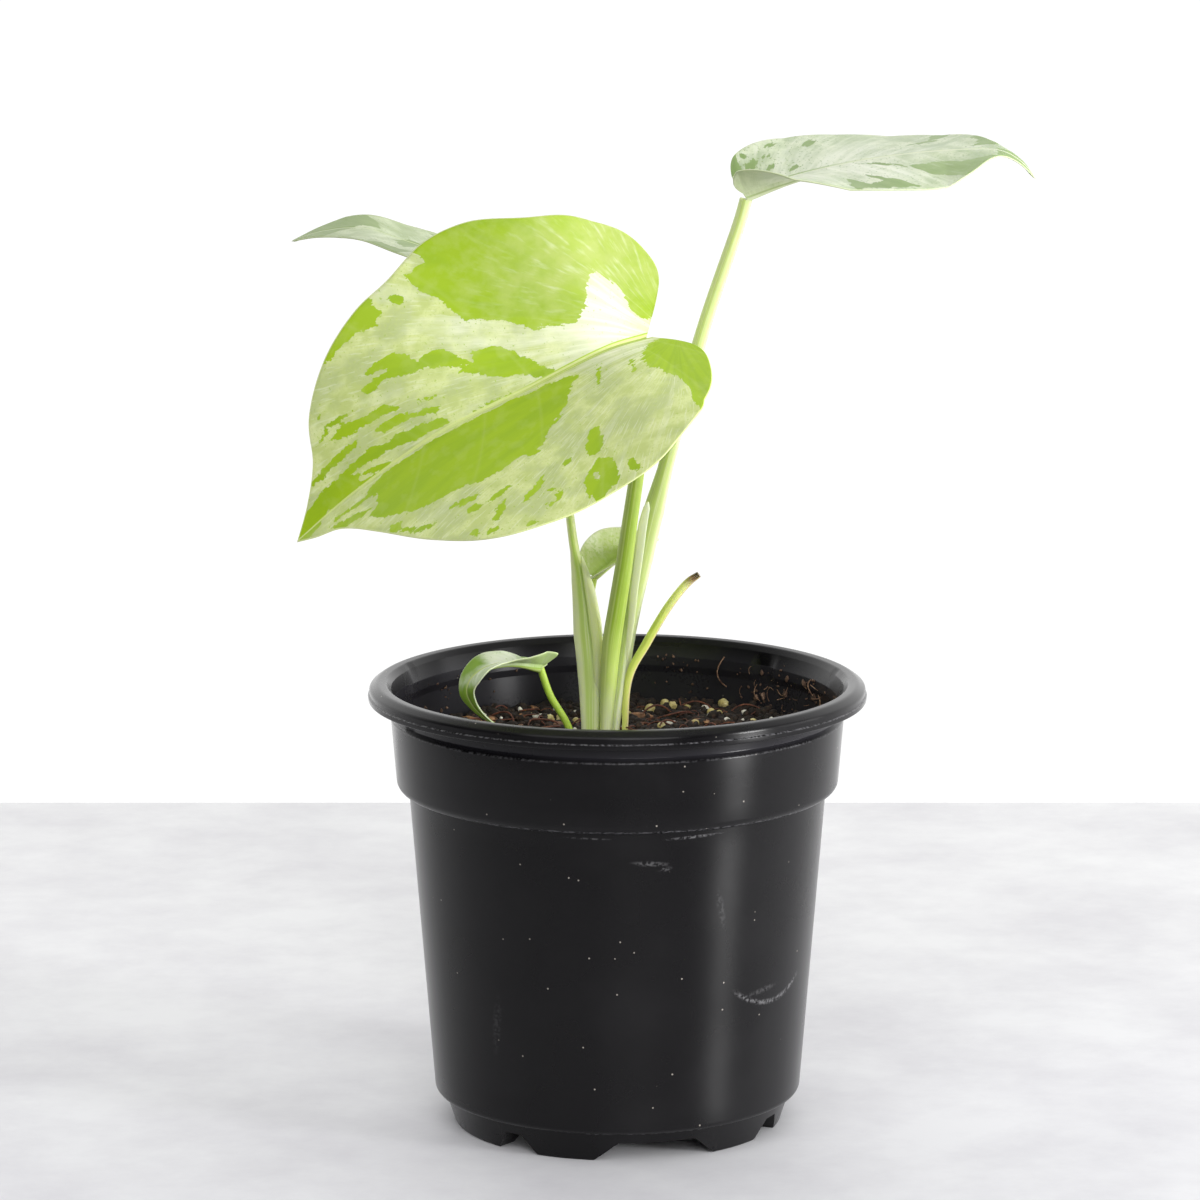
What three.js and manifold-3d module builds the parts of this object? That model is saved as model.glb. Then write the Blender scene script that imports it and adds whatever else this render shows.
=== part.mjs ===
// A young variegated monstera in its black moulded nursery pot. Millimetres, +Z up, the pot's axis is Z
// and its foot stands on Z = 0. The side that faces -Y is the front.
import * as THREE from 'three';
import { mergeVertices } from 'three/addons/utils/BufferGeometryUtils.js';
import Module from 'manifold-3d';

const wasm = await Module();
wasm.setup();

// Driving dimensions of the pot
const POT_HEIGHT = 99.3;
const RIM_RADIUS = 55;
const CREST_RADIUS = 52.6;
const BAND_TOP_RADIUS = 50;
const BAND_LOW_RADIUS = 48.8;
const BODY_TOP_RADIUS = 46.1;
const BODY_LOW_RADIUS = 40.8;
const FOOT_RADIUS = 36.3;
const WALL = 1.0;
const BAND_TOP = 91.4;
const BAND_LOW = 79.2;
const BODY_TOP = 75.4;
const BODY_LOW = 9.2;
const FOOT_TOP = 6.8;
const CHANNEL_HEIGHT = 4.4;
const CENTRE_PAD_RADIUS = 17;
const FOOT_INNER_RADIUS = 31;
const POT_SIDES = 54;

// Notches of the foot ring: half widths at the floor and at the notch's roof, and their directions
const WIDE_NOTCH = { low: 13.5, high: 8.6 };
const NARROW_NOTCH = { low: 5.4, high: 2.1 };
const WIDE_NOTCH_TURN = 13.5;
const NARROW_NOTCH_OFFSET = 50.5;

// Drain holes in the raised ring of the base, one behind each notch
const DRAIN_RADIUS = 3;
const DRAIN_CIRCLE = 24;

// Soil, with the loose pieces that lie in its top
const SOIL_LEVEL = 84.8;
const SOIL_GAP = 0.3;
const SOIL_RINGS = 8;
const SOIL_SIDES = 36;
const PIECE_REACH = 43;
const PRILL_COUNT = 26;
const PERLITE_COUNT = 16;
const BARK_COUNT = 18;

// Plant. The stalks stand on the buried stem, a hair above it, and COLLAR is where they come free of
// the soil's mound.
const BLADE_THICKNESS = 0.75;
const STALK_GAP = 0.3;
const STEM_TOP = 73;
const STALK_FOOT = STEM_TOP + STALK_GAP;
const COLLAR = 88.8;

const rad = THREE.MathUtils.degToRad;
const mix = THREE.MathUtils.lerp;
const vec = (p) => new THREE.Vector3(...p);

function solidFrom(geometry) {
  const bare = geometry.clone();
  bare.deleteAttribute('normal');
  bare.deleteAttribute('uv');
  const merged = mergeVertices(bare, 1e-4);
  const corners = [];
  for (let i = 0; i < merged.index.count; i += 3) {
    const [a, b, c] = [0, 1, 2].map((k) => merged.index.getX(i + k));
    if (a !== b && b !== c && c !== a) corners.push(a, b, c);
  }
  const mesh = new wasm.Mesh({
    numProp: 3,
    vertProperties: new Float32Array(merged.attributes.position.array),
    triVerts: new Uint32Array(corners),
  });
  return new wasm.Manifold(mesh);
}

function geometryFrom(solid) {
  const { vertProperties, triVerts } = solid.getMesh();
  const geometry = new THREE.BufferGeometry();
  geometry.setAttribute('position', new THREE.BufferAttribute(new Float32Array(vertProperties), 3));
  geometry.setIndex(new THREE.BufferAttribute(new Uint32Array(triVerts), 1));
  geometry.computeVertexNormals();
  return geometry;
}

// The largest body of a cut solid: slivers that a cut leaves loose are dropped
function mainBody(solid) {
  return solid.decompose().reduce((best, body) => (body.volume() > best.volume() ? body : best));
}

function seededRandom(seed) {
  let state = seed;
  return () => {
    state = (state * 1664525 + 1013904223) % 4294967296;
    return state / 4294967296;
  };
}

// A turned solid. The profile runs from the axis at the bottom round to the axis at the top.
function turned(profile, sides = POT_SIDES) {
  const lathe = new THREE.LatheGeometry(profile.map(([r, z]) => new THREE.Vector2(r, z)), sides);
  lathe.rotateX(Math.PI / 2);
  return solidFrom(lathe);
}

// Pot

function potOutside() {
  return [
    [0, 0],
    [CENTRE_PAD_RADIUS, 0],
    [CENTRE_PAD_RADIUS + 1.6, CHANNEL_HEIGHT],
    [FOOT_INNER_RADIUS - 1.4, CHANNEL_HEIGHT],
    [FOOT_INNER_RADIUS, 0],
    [FOOT_RADIUS, 0],
    [FOOT_RADIUS + 2.2, FOOT_TOP - 0.2],
    [BODY_LOW_RADIUS - 1, FOOT_TOP + 0.7],
    [BODY_LOW_RADIUS, BODY_LOW],
    [BODY_TOP_RADIUS, BODY_TOP],
    [BODY_TOP_RADIUS + 1.4, BODY_TOP + 0.6],
    [BAND_LOW_RADIUS - 0.2, BAND_LOW - 1.6],
    [BAND_LOW_RADIUS, BAND_LOW],
    [BAND_TOP_RADIUS, BAND_TOP],
    [BAND_TOP_RADIUS - 0.9, BAND_TOP + 1.1],
  ];
}

function rimLip() {
  return [
    [BAND_TOP_RADIUS - 0.6, POT_HEIGHT - 1.9],
    [RIM_RADIUS - 1.1, POT_HEIGHT - 2.1],
    [RIM_RADIUS - 1.1, POT_HEIGHT - 4],
    [RIM_RADIUS - 0.2, POT_HEIGHT - 4],
    [RIM_RADIUS, POT_HEIGHT - 2.4],
    [RIM_RADIUS - 0.7, POT_HEIGHT - 0.8],
    [CREST_RADIUS, POT_HEIGHT],
    [CREST_RADIUS - 1.7, POT_HEIGHT - 0.3],
    [CREST_RADIUS - 2.8, POT_HEIGHT - 1.1],
  ];
}

// The inside of the wall, from the rim down to the axis, moved inwards by a gap
function potInside(gap = 0) {
  return [
    [BAND_TOP_RADIUS - 1.9 - gap, BAND_TOP + 4],
    [BAND_TOP_RADIUS - 1.9 - gap, BAND_TOP + 1.3],
    [BAND_TOP_RADIUS - WALL - gap, BAND_TOP],
    [BAND_LOW_RADIUS - WALL - gap, BAND_LOW],
    [BAND_LOW_RADIUS - WALL - 0.3 - gap, BAND_LOW - 1.2],
    [BODY_TOP_RADIUS - WALL - gap, BODY_TOP + 0.9],
    [BODY_LOW_RADIUS - WALL - gap, BODY_LOW + 0.5 + gap],
    [FOOT_RADIUS + 1 - gap, FOOT_TOP + 1.2 + gap],
    [FOOT_RADIUS - 0.9 - gap, WALL + gap],
    [FOOT_INNER_RADIUS + 1 + gap, WALL + gap],
    [FOOT_INNER_RADIUS - 0.6 + gap, CHANNEL_HEIGHT + WALL + gap],
    [CENTRE_PAD_RADIUS + 0.8 - gap, CHANNEL_HEIGHT + WALL + gap],
    [CENTRE_PAD_RADIUS - 0.8 - gap, WALL + gap],
    [0, WALL + gap],
  ];
}

// One notch through the foot ring, grown on all its faces by the wall that lines it
function notch({ low, high }, turn, grown) {
  const slope = (low - high) / CHANNEL_HEIGHT;
  const side = grown * Math.hypot(1, slope);
  const below = 2;
  const top = CHANNEL_HEIGHT + grown;
  const halfAt = (z) => low - slope * z + side;
  const section = new THREE.Shape([
    new THREE.Vector2(-halfAt(-below), -below),
    new THREE.Vector2(halfAt(-below), -below),
    new THREE.Vector2(halfAt(top), top),
    new THREE.Vector2(-halfAt(top), top),
  ]);
  const length = 20;
  const prism = new THREE.ExtrudeGeometry(section, { depth: length, bevelEnabled: false });
  prism.rotateX(Math.PI / 2);
  prism.translate(0, -(FOOT_INNER_RADIUS - 4), 0);
  prism.rotateZ(rad(turn));
  return solidFrom(prism);
}

const notchList = [0, 180].flatMap((half) => [
  { size: WIDE_NOTCH, turn: WIDE_NOTCH_TURN + half },
  { size: NARROW_NOTCH, turn: WIDE_NOTCH_TURN + NARROW_NOTCH_OFFSET + half },
  { size: NARROW_NOTCH, turn: WIDE_NOTCH_TURN - NARROW_NOTCH_OFFSET + half },
]);

function allNotches(grown) {
  return notchList.map(({ size, turn }) => notch(size, turn, grown)).reduce((a, b) => a.add(b));
}

function buildPot() {
  const outside = potOutside();
  const shell = turned([...outside, ...rimLip(), ...potInside()]);
  const envelope = turned([...outside, [0, BAND_TOP]]);
  const linings = allNotches(WALL).intersect(envelope);
  let pot = shell.add(linings).subtract(allNotches(0));
  for (const { turn } of notchList) {
    const drill = new THREE.CylinderGeometry(DRAIN_RADIUS, DRAIN_RADIUS, 4 * CHANNEL_HEIGHT, 12);
    drill.rotateX(Math.PI / 2);
    drill.translate(0, -DRAIN_CIRCLE, 0);
    drill.rotateZ(rad(turn));
    pot = pot.subtract(solidFrom(drill));
  }
  return mainBody(pot);
}

// Stalks, the stem and roots: a bar whose rings are carried onto a smooth path. Width and depth are its
// half widths, given at the path's points; first is the direction that the width starts in.

function pathFrames(points, first, steps) {
  const path = new THREE.CatmullRomCurve3(points.map(vec), false, 'centripetal');
  const frames = [];
  let side = vec(first);
  for (let i = 0; i <= steps; i += 1) {
    const along = path.getTangent(i / steps);
    side = side.clone().addScaledVector(along, -side.dot(along)).normalize();
    frames.push({ at: path.getPoint(i / steps), side, back: along.clone().cross(side) });
  }
  return frames;
}

// Reads a list of values spread evenly over 0 to 1
function spread(values, t) {
  const place = THREE.MathUtils.clamp(t, 0, 1) * (values.length - 1);
  const low = Math.min(Math.floor(place), values.length - 2);
  return mix(values[low], values[low + 1], place - low);
}

function bar({ points, width, depth = width, first = [1, 0, 0], sides = 10, detail = 2 }, grown = 0) {
  const steps = detail * (points.length - 1);
  const frames = pathFrames(points, first, steps);
  const round = new THREE.CylinderGeometry(1, 1, 1, sides, steps);
  const place = round.attributes.position;
  for (let i = 0; i < place.count; i += 1) {
    const t = THREE.MathUtils.clamp(place.getY(i) + 0.5, 0, 1);
    const { at, side, back } = frames[Math.round(t * steps)];
    const across = place.getX(i) * (spread(width, t) + grown);
    const through = place.getZ(i) * (spread(depth, t) + grown);
    const moved = at.clone().addScaledVector(side, across).addScaledVector(back, -through);
    place.setXYZ(i, moved.x, moved.y, moved.z);
  }
  return solidFrom(round);
}

// Blades. A point of a flat blade has x along the midrib, from the joint with the stalk, and y across
// it. It is carried onto the curved midrib, folded up along it, and waved towards the margin.

const NO_WAVE = { height: 0, count: 1, start: 0, lag: 0, reach: 1 };

function bladeMap({ spine, facing, fold, wave = NO_WAVE }) {
  const path = new THREE.CatmullRomCurve3(spine.map(vec), false, 'centripetal');
  const length = path.getLength();
  const place = (x, y) => {
    const t = THREE.MathUtils.clamp(x / length, 0, 1);
    const along = path.getTangentAt(t);
    const up = vec(facing[0]).lerp(vec(facing[1]), t);
    const across = along.clone().cross(up).normalize();
    const normal = across.clone().cross(along);
    const sideways = Math.abs(y);
    const angle = rad(spread(y > 0 ? fold.right : fold.left, t));
    const phase = wave.start + (y > 0 ? 0 : wave.lag);
    const ripple = Math.sin((2 * Math.PI * wave.count * x) / length + phase);
    const lift = sideways * Math.sin(angle) + wave.height * ripple * (sideways / wave.reach) ** 2;
    return path.getPointAt(t)
      .addScaledVector(along, Math.min(x, 0))
      .addScaledVector(across, Math.sign(y) * sideways * Math.cos(angle))
      .addScaledVector(normal, lift);
  };
  const normal = (x, y) => {
    const step = 0.2;
    const tangentX = place(x + step, y).sub(place(x - step, y));
    const tangentY = place(x, y + step).sub(place(x, y - step));
    return tangentY.cross(tangentX).normalize();
  };
  return { length, place, normal };
}

// The flat grid of a heart-shaped blade: a row for each vein, from the right margin over the midrib to
// the left margin. All rows meet in the joint at one end and in the tip at the other.
function veinGrid(margins, length, rows, columns) {
  const sides = margins.map((points) => new THREE.SplineCurve(
    [[0, 0], ...points, [length, 0]].map(([x, y]) => new THREE.Vector2(x, y)),
  ));
  const rootGrowth = 2.1;
  const backwardBow = 0.1;
  const grid = [];
  for (let i = 0; i <= rows; i += 1) {
    const root = length * (i / rows) ** rootGrowth;
    const row = [];
    for (let j = -columns; j <= columns; j += 1) {
      const edge = sides[j < 0 ? 0 : 1].getPointAt(i / rows);
      const share = Math.abs(j) / columns;
      const bow = 2 * share * (1 - share) * backwardBow * edge.y;
      row.push([mix(root, edge.x, share) - bow, Math.sign(-j) * share * edge.y]);
    }
    grid.push(row);
  }
  return grid;
}

// The blade's sheet, its upper and under sides split into triangles alike
function blade(leaf, rows, columns) {
  const map = bladeMap(leaf);
  const grid = veinGrid([leaf.right, leaf.left ?? leaf.right], map.length, rows, columns);
  const across = 2 * columns + 1;
  const vertices = [];
  for (const side of [0.5, -0.5]) {
    for (const [x, y] of grid.flat()) {
      const point = map.place(x, y).addScaledVector(map.normal(x, y), side * BLADE_THICKNESS);
      vertices.push(point.x, point.y, point.z);
    }
  }
  const under = vertices.length / 6;
  const faces = [];
  const margin = (a, b) => faces.push(a, b, b + under, a, b + under, a + under);
  for (let i = 0; i < rows; i += 1) {
    for (let j = 0; j < across - 1; j += 1) {
      const a = i * across + j;
      const [b, c, d] = [a + 1, a + across, a + across + 1];
      const halves = j < columns ? [[a, b, c], [b, d, c]] : [[a, b, d], [a, d, c]];
      for (const [p, q, r] of halves) faces.push(p, r, q, p + under, q + under, r + under);
    }
    margin((i + 1) * across, i * across);
    margin((i + 1) * across - 1, (i + 2) * across - 1);
  }
  const sheet = new THREE.BufferGeometry();
  sheet.setAttribute('position', new THREE.Float32BufferAttribute(vertices, 3));
  sheet.setIndex(faces);
  return solidFrom(sheet);
}

// The midrib goes over from the stalk into the blade, stands out under it and thins towards the tip
function midrib(leaf) {
  const map = bladeMap(leaf);
  const stations = 6;
  const { share = 0.8, side = [0, 0, 1] } = leaf.rib ?? {};
  const stalkEnd = leaf.stalk.width.at(-1);
  const points = [leaf.stalk.points.at(-1)];
  const width = [stalkEnd];
  for (let i = 0; i < stations; i += 1) {
    const x = (map.length * share * (i + 0.4)) / stations;
    const below = BLADE_THICKNESS * (1.2 - (0.6 * i) / stations);
    points.push(map.place(x, 0).addScaledVector(map.normal(x, 0), -below).toArray());
    width.push(stalkEnd * (0.85 - (0.6 * i) / stations));
  }
  return { points, width, first: side, sides: 7, detail: 1 };
}

function leafSolid(leaf, rows, columns) {
  return blade(leaf, rows, columns).add(bar(midrib(leaf))).add(bar(leaf.stalk));
}

const frontLeaf = {
  spine: [
    [6.2, -14, 177.5],
    [-1.6, -17, 175.6],
    [-20.1, -19.4, 166.7],
    [-38.6, -21, 157.5],
    [-57.3, -18.3, 143.9],
    [-69.5, -14.3, 132.8],
  ],
  facing: [[-0.295, -0.7, 0.648], [-0.295, -0.7, 0.648]],
  fold: { left: [16, 14, 14], right: [16, 16, 16] },
  wave: { height: 1.2, count: 1.5, start: 0.5, lag: 2, reach: 42 },
  right: [
    [-4.3, 6.6], [-8.4, 12.6], [-8.7, 18.6], [-5.2, 26.2], [3.4, 32], [12, 35.6], [23.6, 41.4],
    [35, 42.4], [45.5, 37.8], [53.5, 35], [64, 29], [73, 20.6], [77.5, 11.6], [83.5, 5.2],
  ],
  left: [
    [-5.4, 4.6], [-8.3, 9.6], [-7.6, 16.2], [-3.6, 25.4], [4.6, 34.6], [12.2, 42.6], [23.5, 44.4],
    [36.6, 44.7], [47.3, 41.4], [58, 30.6], [69.1, 16.8], [77.5, 7.6], [84.7, 3.6],
  ],
  stalk: {
    points: [
      [-2.6, -0.9, STALK_FOOT],
      [-2.5, -0.9, COLLAR],
      [-1.9, -1, 99.6],
      [-1.5, -1.2, 108.3],
      [0.1, -1.4, 116.2],
      [1.4, -1.7, 125.2],
      [2.9, -2.2, 136.4],
      [6, -4.5, 158],
      [7.8, -7.5, 170.5],
      [6.9, -12.2, 176.2],
    ],
    width: [1.2, 1.4, 1.8, 2.1, 2, 1.9, 1.7, 1.5, 1.5, 1.4],
    depth: [1.6, 1.8, 1.8, 1.8, 1.8, 1.8, 1.7, 1.5, 1.5, 1.4],
  },
};

const rightLeaf = {
  spine: [
    [28, 4, 206.5],
    [36.9, 4, 209.8],
    [48.4, 4, 212.8],
    [61.4, 4, 215],
    [76, 3.6, 216.2],
    [83.4, 3, 215.9],
    [87.5, 2.6, 213.7],
    [90.9, 2, 210],
  ],
  facing: [[0, -0.1, 1], [0.2, -0.2, 1]],
  fold: { left: [28, 11, 2, -4.5, -6, -1, -2], right: [36, 12, 0.5, -3.5, -8, 0, 0] },
  right: [
    [-1.1, 3.3], [-1.7, 7.8], [0.2, 13.6], [7.4, 19.2], [17, 22.6], [28, 23.6], [37.6, 22.4],
    [45, 19.4], [51, 14], [55, 7], [58.4, 2.8],
  ],
  stalk: {
    points: [
      [-0.4, 0.9, STALK_FOOT],
      [-0.4, 0.9, COLLAR],
      [1.1, 1.2, 100.2],
      [2.3, 1.6, 109],
      [3.9, 1.9, 117],
      [5.6, 2.4, 126],
      [8, 3, 136.8],
      [10.4, 3.2, 145.8],
      [18.7, 4, 176.6],
      [26.8, 4, 201],
      [28, 4, 205.4],
    ],
    width: [0.9, 1, 1.5, 1.7, 1.7, 2.2, 2.3, 1.7, 1.5, 1.4, 1.4],
    depth: [1.6, 1.8, 1.8, 1.6, 1.5, 1.5, 1.5, 1.6, 1.5, 1.4, 1.4],
  },
  rib: { side: [0, 1, 0] },
};

const backLeaf = {
  spine: [
    [-16, 29, 181.5],
    [-20, 30, 183.5],
    [-33.5, 32, 188],
    [-48, 33.5, 192.6],
    [-57, 34, 195.2],
    [-66, 34.3, 194.4],
    [-72.9, 34.5, 192.3],
  ],
  facing: [[0, 0, 1], [0, 0, 1]],
  fold: { left: [22, 6, 1, -1, -4, -4], right: [22, 6, 1, 3, 8, 5] },
  right: [
    [-3, 3], [-5, 8], [-4, 14.5], [2, 20.5], [11, 23], [22, 22], [33, 18.6], [43, 14], [51, 7.6],
  ],
  stalk: {
    points: [
      [-5.9, 0.9, STALK_FOOT],
      [-5.9, 0.9, COLLAR],
      [-6.1, 2.2, 100.4],
      [-6.8, 4, 109.4],
      [-8, 6.4, 120.6],
      [-9.4, 8.6, 126.6],
      [-10.5, 11.2, 134],
      [-13.2, 19, 157],
      [-15.6, 26.6, 176],
      [-16, 28.7, 180.6],
    ],
    width: [1.6, 2.1, 2.75, 3.1, 2.6, 1.25, 1, 1.1, 1.2, 1.1],
    depth: [1.7, 2, 2, 1.8, 1.5, 1.2, 1, 1.1, 1.2, 1.1],
  },
  rib: { side: [0, 1, 0] },
};

const youngLeaf = {
  spine: [[-5, 8.6, 121.2], [-0.4, 9.6, 124.4], [5, 10.6, 127.2], [9.4, 11.2, 128.9]],
  facing: [[-0.38, -0.5, 0.78], [-0.38, -0.5, 0.78]],
  fold: { left: [38, 33, 30], right: [38, 33, 30] },
  right: [[-1.5, 2], [-1.2, 4.4], [1.6, 7], [6, 8], [10.6, 6], [14.4, 2.2]],
  stalk: {
    points: [
      [-5, 3.2, STALK_FOOT],
      [-5.2, 3.6, COLLAR],
      [-5.8, 4.8, 100],
      [-6.3, 6.6, 110],
      [-5.8, 8.2, 116.6],
      [-5.1, 8.5, 120.8],
    ],
    width: [0.6, 0.6, 0.6, 0.7, 0.7, 0.7],
    sides: 8,
  },
  rib: { share: 0.7 },
};

const lowLeaf = {
  spine: [
    [-16.9, -5.9, 103.3],
    [-21.8, -7, 104.6],
    [-26.2, -7.6, 104.4],
    [-29.8, -8, 103.2],
    [-32.2, -8.2, 101],
    [-32.9, -8.5, 98.4],
    [-31.8, -8.8, 95.8],
    [-30.2, -9, 93.9],
    [-27.8, -9.2, 91.9],
    [-24.8, -9.4, 90.2],
  ],
  facing: [[0, 0, 1], [-0.75, -0.5, -0.42]],
  fold: { left: [62, 34, 22, 20, 6, 0, 0, 0, 0], right: [20, 5, 14, 12, 4, 2, 0, 0, 0] },
  right: [[-1.4, 1.4], [-1.8, 2.8], [0.6, 4], [6, 4.6], [13, 5], [19, 3.2], [25, 1.2]],
  left: [[-1, 2.2], [-2.6, 4.6], [-1.2, 5], [2.5, 4.2], [7, 3.4], [13, 4.6], [19, 3], [25, 1.2]],
  stalk: {
    points: [
      [-8.4, -1.2, STALK_FOOT],
      [-9.2, -2.2, 82],
      [-10.9, -3, 89.6],
      [-14.8, -5, 97],
      [-16.9, -5.9, 103.3],
    ],
    width: [0.7, 0.8, 0.8, 0.8, 0.8],
    sides: 8,
  },
  rib: { share: 0.7 },
};

const stub = {
  points: [
    [1.9, 0, STALK_FOOT],
    [1.7, 0, COLLAR],
    [2.6, -0.1, 100.2],
    [6.5, -0.6, 107.9],
    [11.5, -1.2, 116.5],
    [15.6, -1.4, 121.6],
    [17.9, -1.5, 123.3],
  ],
  width: [0.6, 0.7, 0.9, 1, 0.95, 0.9, 0.7],
  sides: 8,
};

// The buried stem, and its thick roots that spread and sink through the soil
const stem = {
  points: [[-4.5, 2, 46], [-3.6, 1, 58], [-3.4, 0, STEM_TOP]],
  width: [4, 6, 7.6],
  depth: [4, 5, 4],
  sides: 12,
};

function rootBars() {
  const random = seededRandom(7);
  const count = 7;
  return Array.from({ length: count }, (_, i) => {
    const turn = (2 * Math.PI * (i + 0.5 * random())) / count;
    const reach = mix(24, 36, random());
    const bottom = mix(14, 34, random());
    const start = mix(49, 64, random());
    const out = (distance, z, swing) => [
      distance * Math.cos(turn + swing) - 4,
      distance * Math.sin(turn + swing) + 1,
      z,
    ];
    return {
      points: [
        out(1, start, 0),
        out(0.45 * reach, start - 6, 0.15),
        out(0.9 * reach, mix(start, bottom, 0.5), -0.1),
        out(reach, bottom, 0.2),
      ],
      width: [1.5, 1.3, 1.1, 0.7],
      sides: 6,
    };
  });
}

function stemAndRoots(grown = 0) {
  return rootBars().reduce((sum, root) => sum.add(bar(root, grown)), bar(stem, grown));
}

// Soil

// The soil's top: a low mound round the stalks, lumps in two sizes and a slight fall to the left
function soilHeight(x, y) {
  const mound = 1.1 * Math.exp(-(((x + 3) / 14) ** 2) - (y / 12) ** 2);
  const broadLumps = 0.55 * Math.sin(0.31 * x + 1) * Math.cos(0.27 * y);
  const smallLumps = 0.35 * Math.sin(0.83 * x - 0.4 * y) * Math.sin(0.71 * y + 0.5 * x);
  return SOIL_LEVEL + mound + broadLumps + smallLumps + 0.012 * x;
}

// The soil fills the pot's inside up to its own level, a hair off the wall
function soilBody() {
  const [upperWall, bandFoot, ...lowerWall] = potInside(SOIL_GAP).slice(2, -1);
  const risen = (SOIL_LEVEL - bandFoot[1]) / (upperWall[1] - bandFoot[1]);
  const topRadius = mix(bandFoot[0], upperWall[0], risen);
  const wall = [bandFoot, ...lowerWall].reverse();
  const rings = Array.from({ length: SOIL_RINGS }, (_, i) => (
    [topRadius * (1 - i / SOIL_RINGS) ** 0.8, SOIL_LEVEL]
  ));
  const profile = [[0, WALL + SOIL_GAP], ...wall, ...rings, [0, SOIL_LEVEL]];
  const lathe = new THREE.LatheGeometry(profile.map(([r, z]) => new THREE.Vector2(r, z)), SOIL_SIDES);
  lathe.rotateX(Math.PI / 2);
  const place = lathe.attributes.position;
  for (let i = 0; i < place.count; i += 1) {
    const onTop = Math.abs(place.getZ(i) - SOIL_LEVEL) < 1e-3;
    if (onTop) place.setZ(i, soilHeight(place.getX(i), place.getY(i)));
  }
  return solidFrom(lathe);
}

// Loose pieces in the soil's top, each sunk well in
function soilPiece(geometry, random, sink) {
  const turn = 2 * Math.PI * random();
  const distance = PIECE_REACH * Math.sqrt(mix(0.02, 1, random()));
  const [x, y] = [distance * Math.cos(turn), distance * Math.sin(turn)];
  geometry.rotateX(Math.PI * random());
  geometry.rotateZ(2 * Math.PI * random());
  geometry.translate(x, y, soilHeight(x, y) + sink);
  return solidFrom(geometry);
}

function buildSoil(plant) {
  const random = seededRandom(21);
  const pieces = [];
  for (let i = 0; i < PRILL_COUNT; i += 1) {
    pieces.push(soilPiece(new THREE.IcosahedronGeometry(mix(1, 1.35, random()), 0), random, 0.3));
  }
  for (let i = 0; i < PERLITE_COUNT; i += 1) {
    pieces.push(soilPiece(new THREE.OctahedronGeometry(mix(1.1, 1.9, random()), 0), random, 0.2));
  }
  for (let i = 0; i < BARK_COUNT; i += 1) {
    const size = mix(2.4, 6, random());
    const chip = new THREE.BoxGeometry(size, 0.6 * size, 0.4 * size);
    pieces.push(soilPiece(chip, random, 0.1));
  }
  let soil = pieces.reduce((sum, piece) => sum.add(piece), soilBody());
  soil = soil.subtract(allNotches(WALL + SOIL_GAP));
  for (const cut of plant) soil = soil.subtract(cut);
  return mainBody(soil);
}

// Assembly

const stalks = [
  frontLeaf.stalk,
  rightLeaf.stalk,
  backLeaf.stalk,
  youngLeaf.stalk,
  lowLeaf.stalk,
  stub,
];
const plantHoles = [...stalks.map((stalk) => bar(stalk, SOIL_GAP)), stemAndRoots(SOIL_GAP)];

const front = leafSolid(frontLeaf, 26, 4);
const right = leafSolid(rightLeaf, 22, 4).subtract(bar(frontLeaf.stalk, STALK_GAP));
const back = leafSolid(backLeaf, 20, 4).subtract(bar(frontLeaf.stalk, STALK_GAP));
const young = leafSolid(youngLeaf, 12, 3).subtract(bar(backLeaf.stalk, STALK_GAP));
const low = leafSolid(lowLeaf, 14, 3);
const cutStub = bar(stub).subtract(bar(rightLeaf.stalk, STALK_GAP));

const pieces = [
  ['pot', buildPot(), { color: 0x1f1d1e, roughness: 0.42 }],
  ['soil', buildSoil(plantHoles), { color: 0x3b2a20, roughness: 0.95 }],
  ['stem_and_roots', mainBody(stemAndRoots()), { color: 0xa89a72, roughness: 0.8 }],
  ['front_leaf', mainBody(front), { color: 0xb9d45a, roughness: 0.45 }],
  ['right_leaf', mainBody(right), { color: 0xc9d8a4, roughness: 0.45 }],
  ['back_leaf', mainBody(back), { color: 0xa3bc7c, roughness: 0.45 }],
  ['young_leaf', mainBody(young), { color: 0xb4d07a, roughness: 0.45 }],
  ['low_leaf', mainBody(low), { color: 0x9fbe86, roughness: 0.45 }],
  ['stalk_stub', mainBody(cutStub), { color: 0x9fb84a, roughness: 0.6 }],
];

const group = new THREE.Group();
for (const [name, solid, look] of pieces) {
  const mesh = new THREE.Mesh(
    geometryFrom(solid),
    new THREE.MeshStandardMaterial({ ...look, metalness: 0 }),
  );
  mesh.name = name;
  group.add(mesh);
}

export default group;
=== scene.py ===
import math

import bpy
import numpy as np
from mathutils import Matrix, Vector, noise


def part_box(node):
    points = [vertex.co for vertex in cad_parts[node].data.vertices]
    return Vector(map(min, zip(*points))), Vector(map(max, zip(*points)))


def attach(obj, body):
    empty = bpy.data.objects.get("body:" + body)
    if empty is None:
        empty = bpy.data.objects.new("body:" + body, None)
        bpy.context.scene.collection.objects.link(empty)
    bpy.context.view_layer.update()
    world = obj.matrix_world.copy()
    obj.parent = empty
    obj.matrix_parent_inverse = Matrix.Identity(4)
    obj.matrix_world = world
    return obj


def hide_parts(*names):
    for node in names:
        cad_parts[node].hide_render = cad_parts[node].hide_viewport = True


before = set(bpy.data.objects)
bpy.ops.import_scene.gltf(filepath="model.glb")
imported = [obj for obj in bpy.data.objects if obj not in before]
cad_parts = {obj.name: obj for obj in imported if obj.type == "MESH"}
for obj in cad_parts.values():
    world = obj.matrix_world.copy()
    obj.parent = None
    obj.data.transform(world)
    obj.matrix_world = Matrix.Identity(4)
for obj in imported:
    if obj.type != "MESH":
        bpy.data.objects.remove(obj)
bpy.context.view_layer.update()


# Pot. One thin-walled piece of black polypropylene, injection moulded in one shot: a rolled rim, a neck
# and a band under it, a tapered body and a foot ring cut by notches with drain holes behind them.
# It stands loose on its foot ring and holds the soil by its shape alone.

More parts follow.
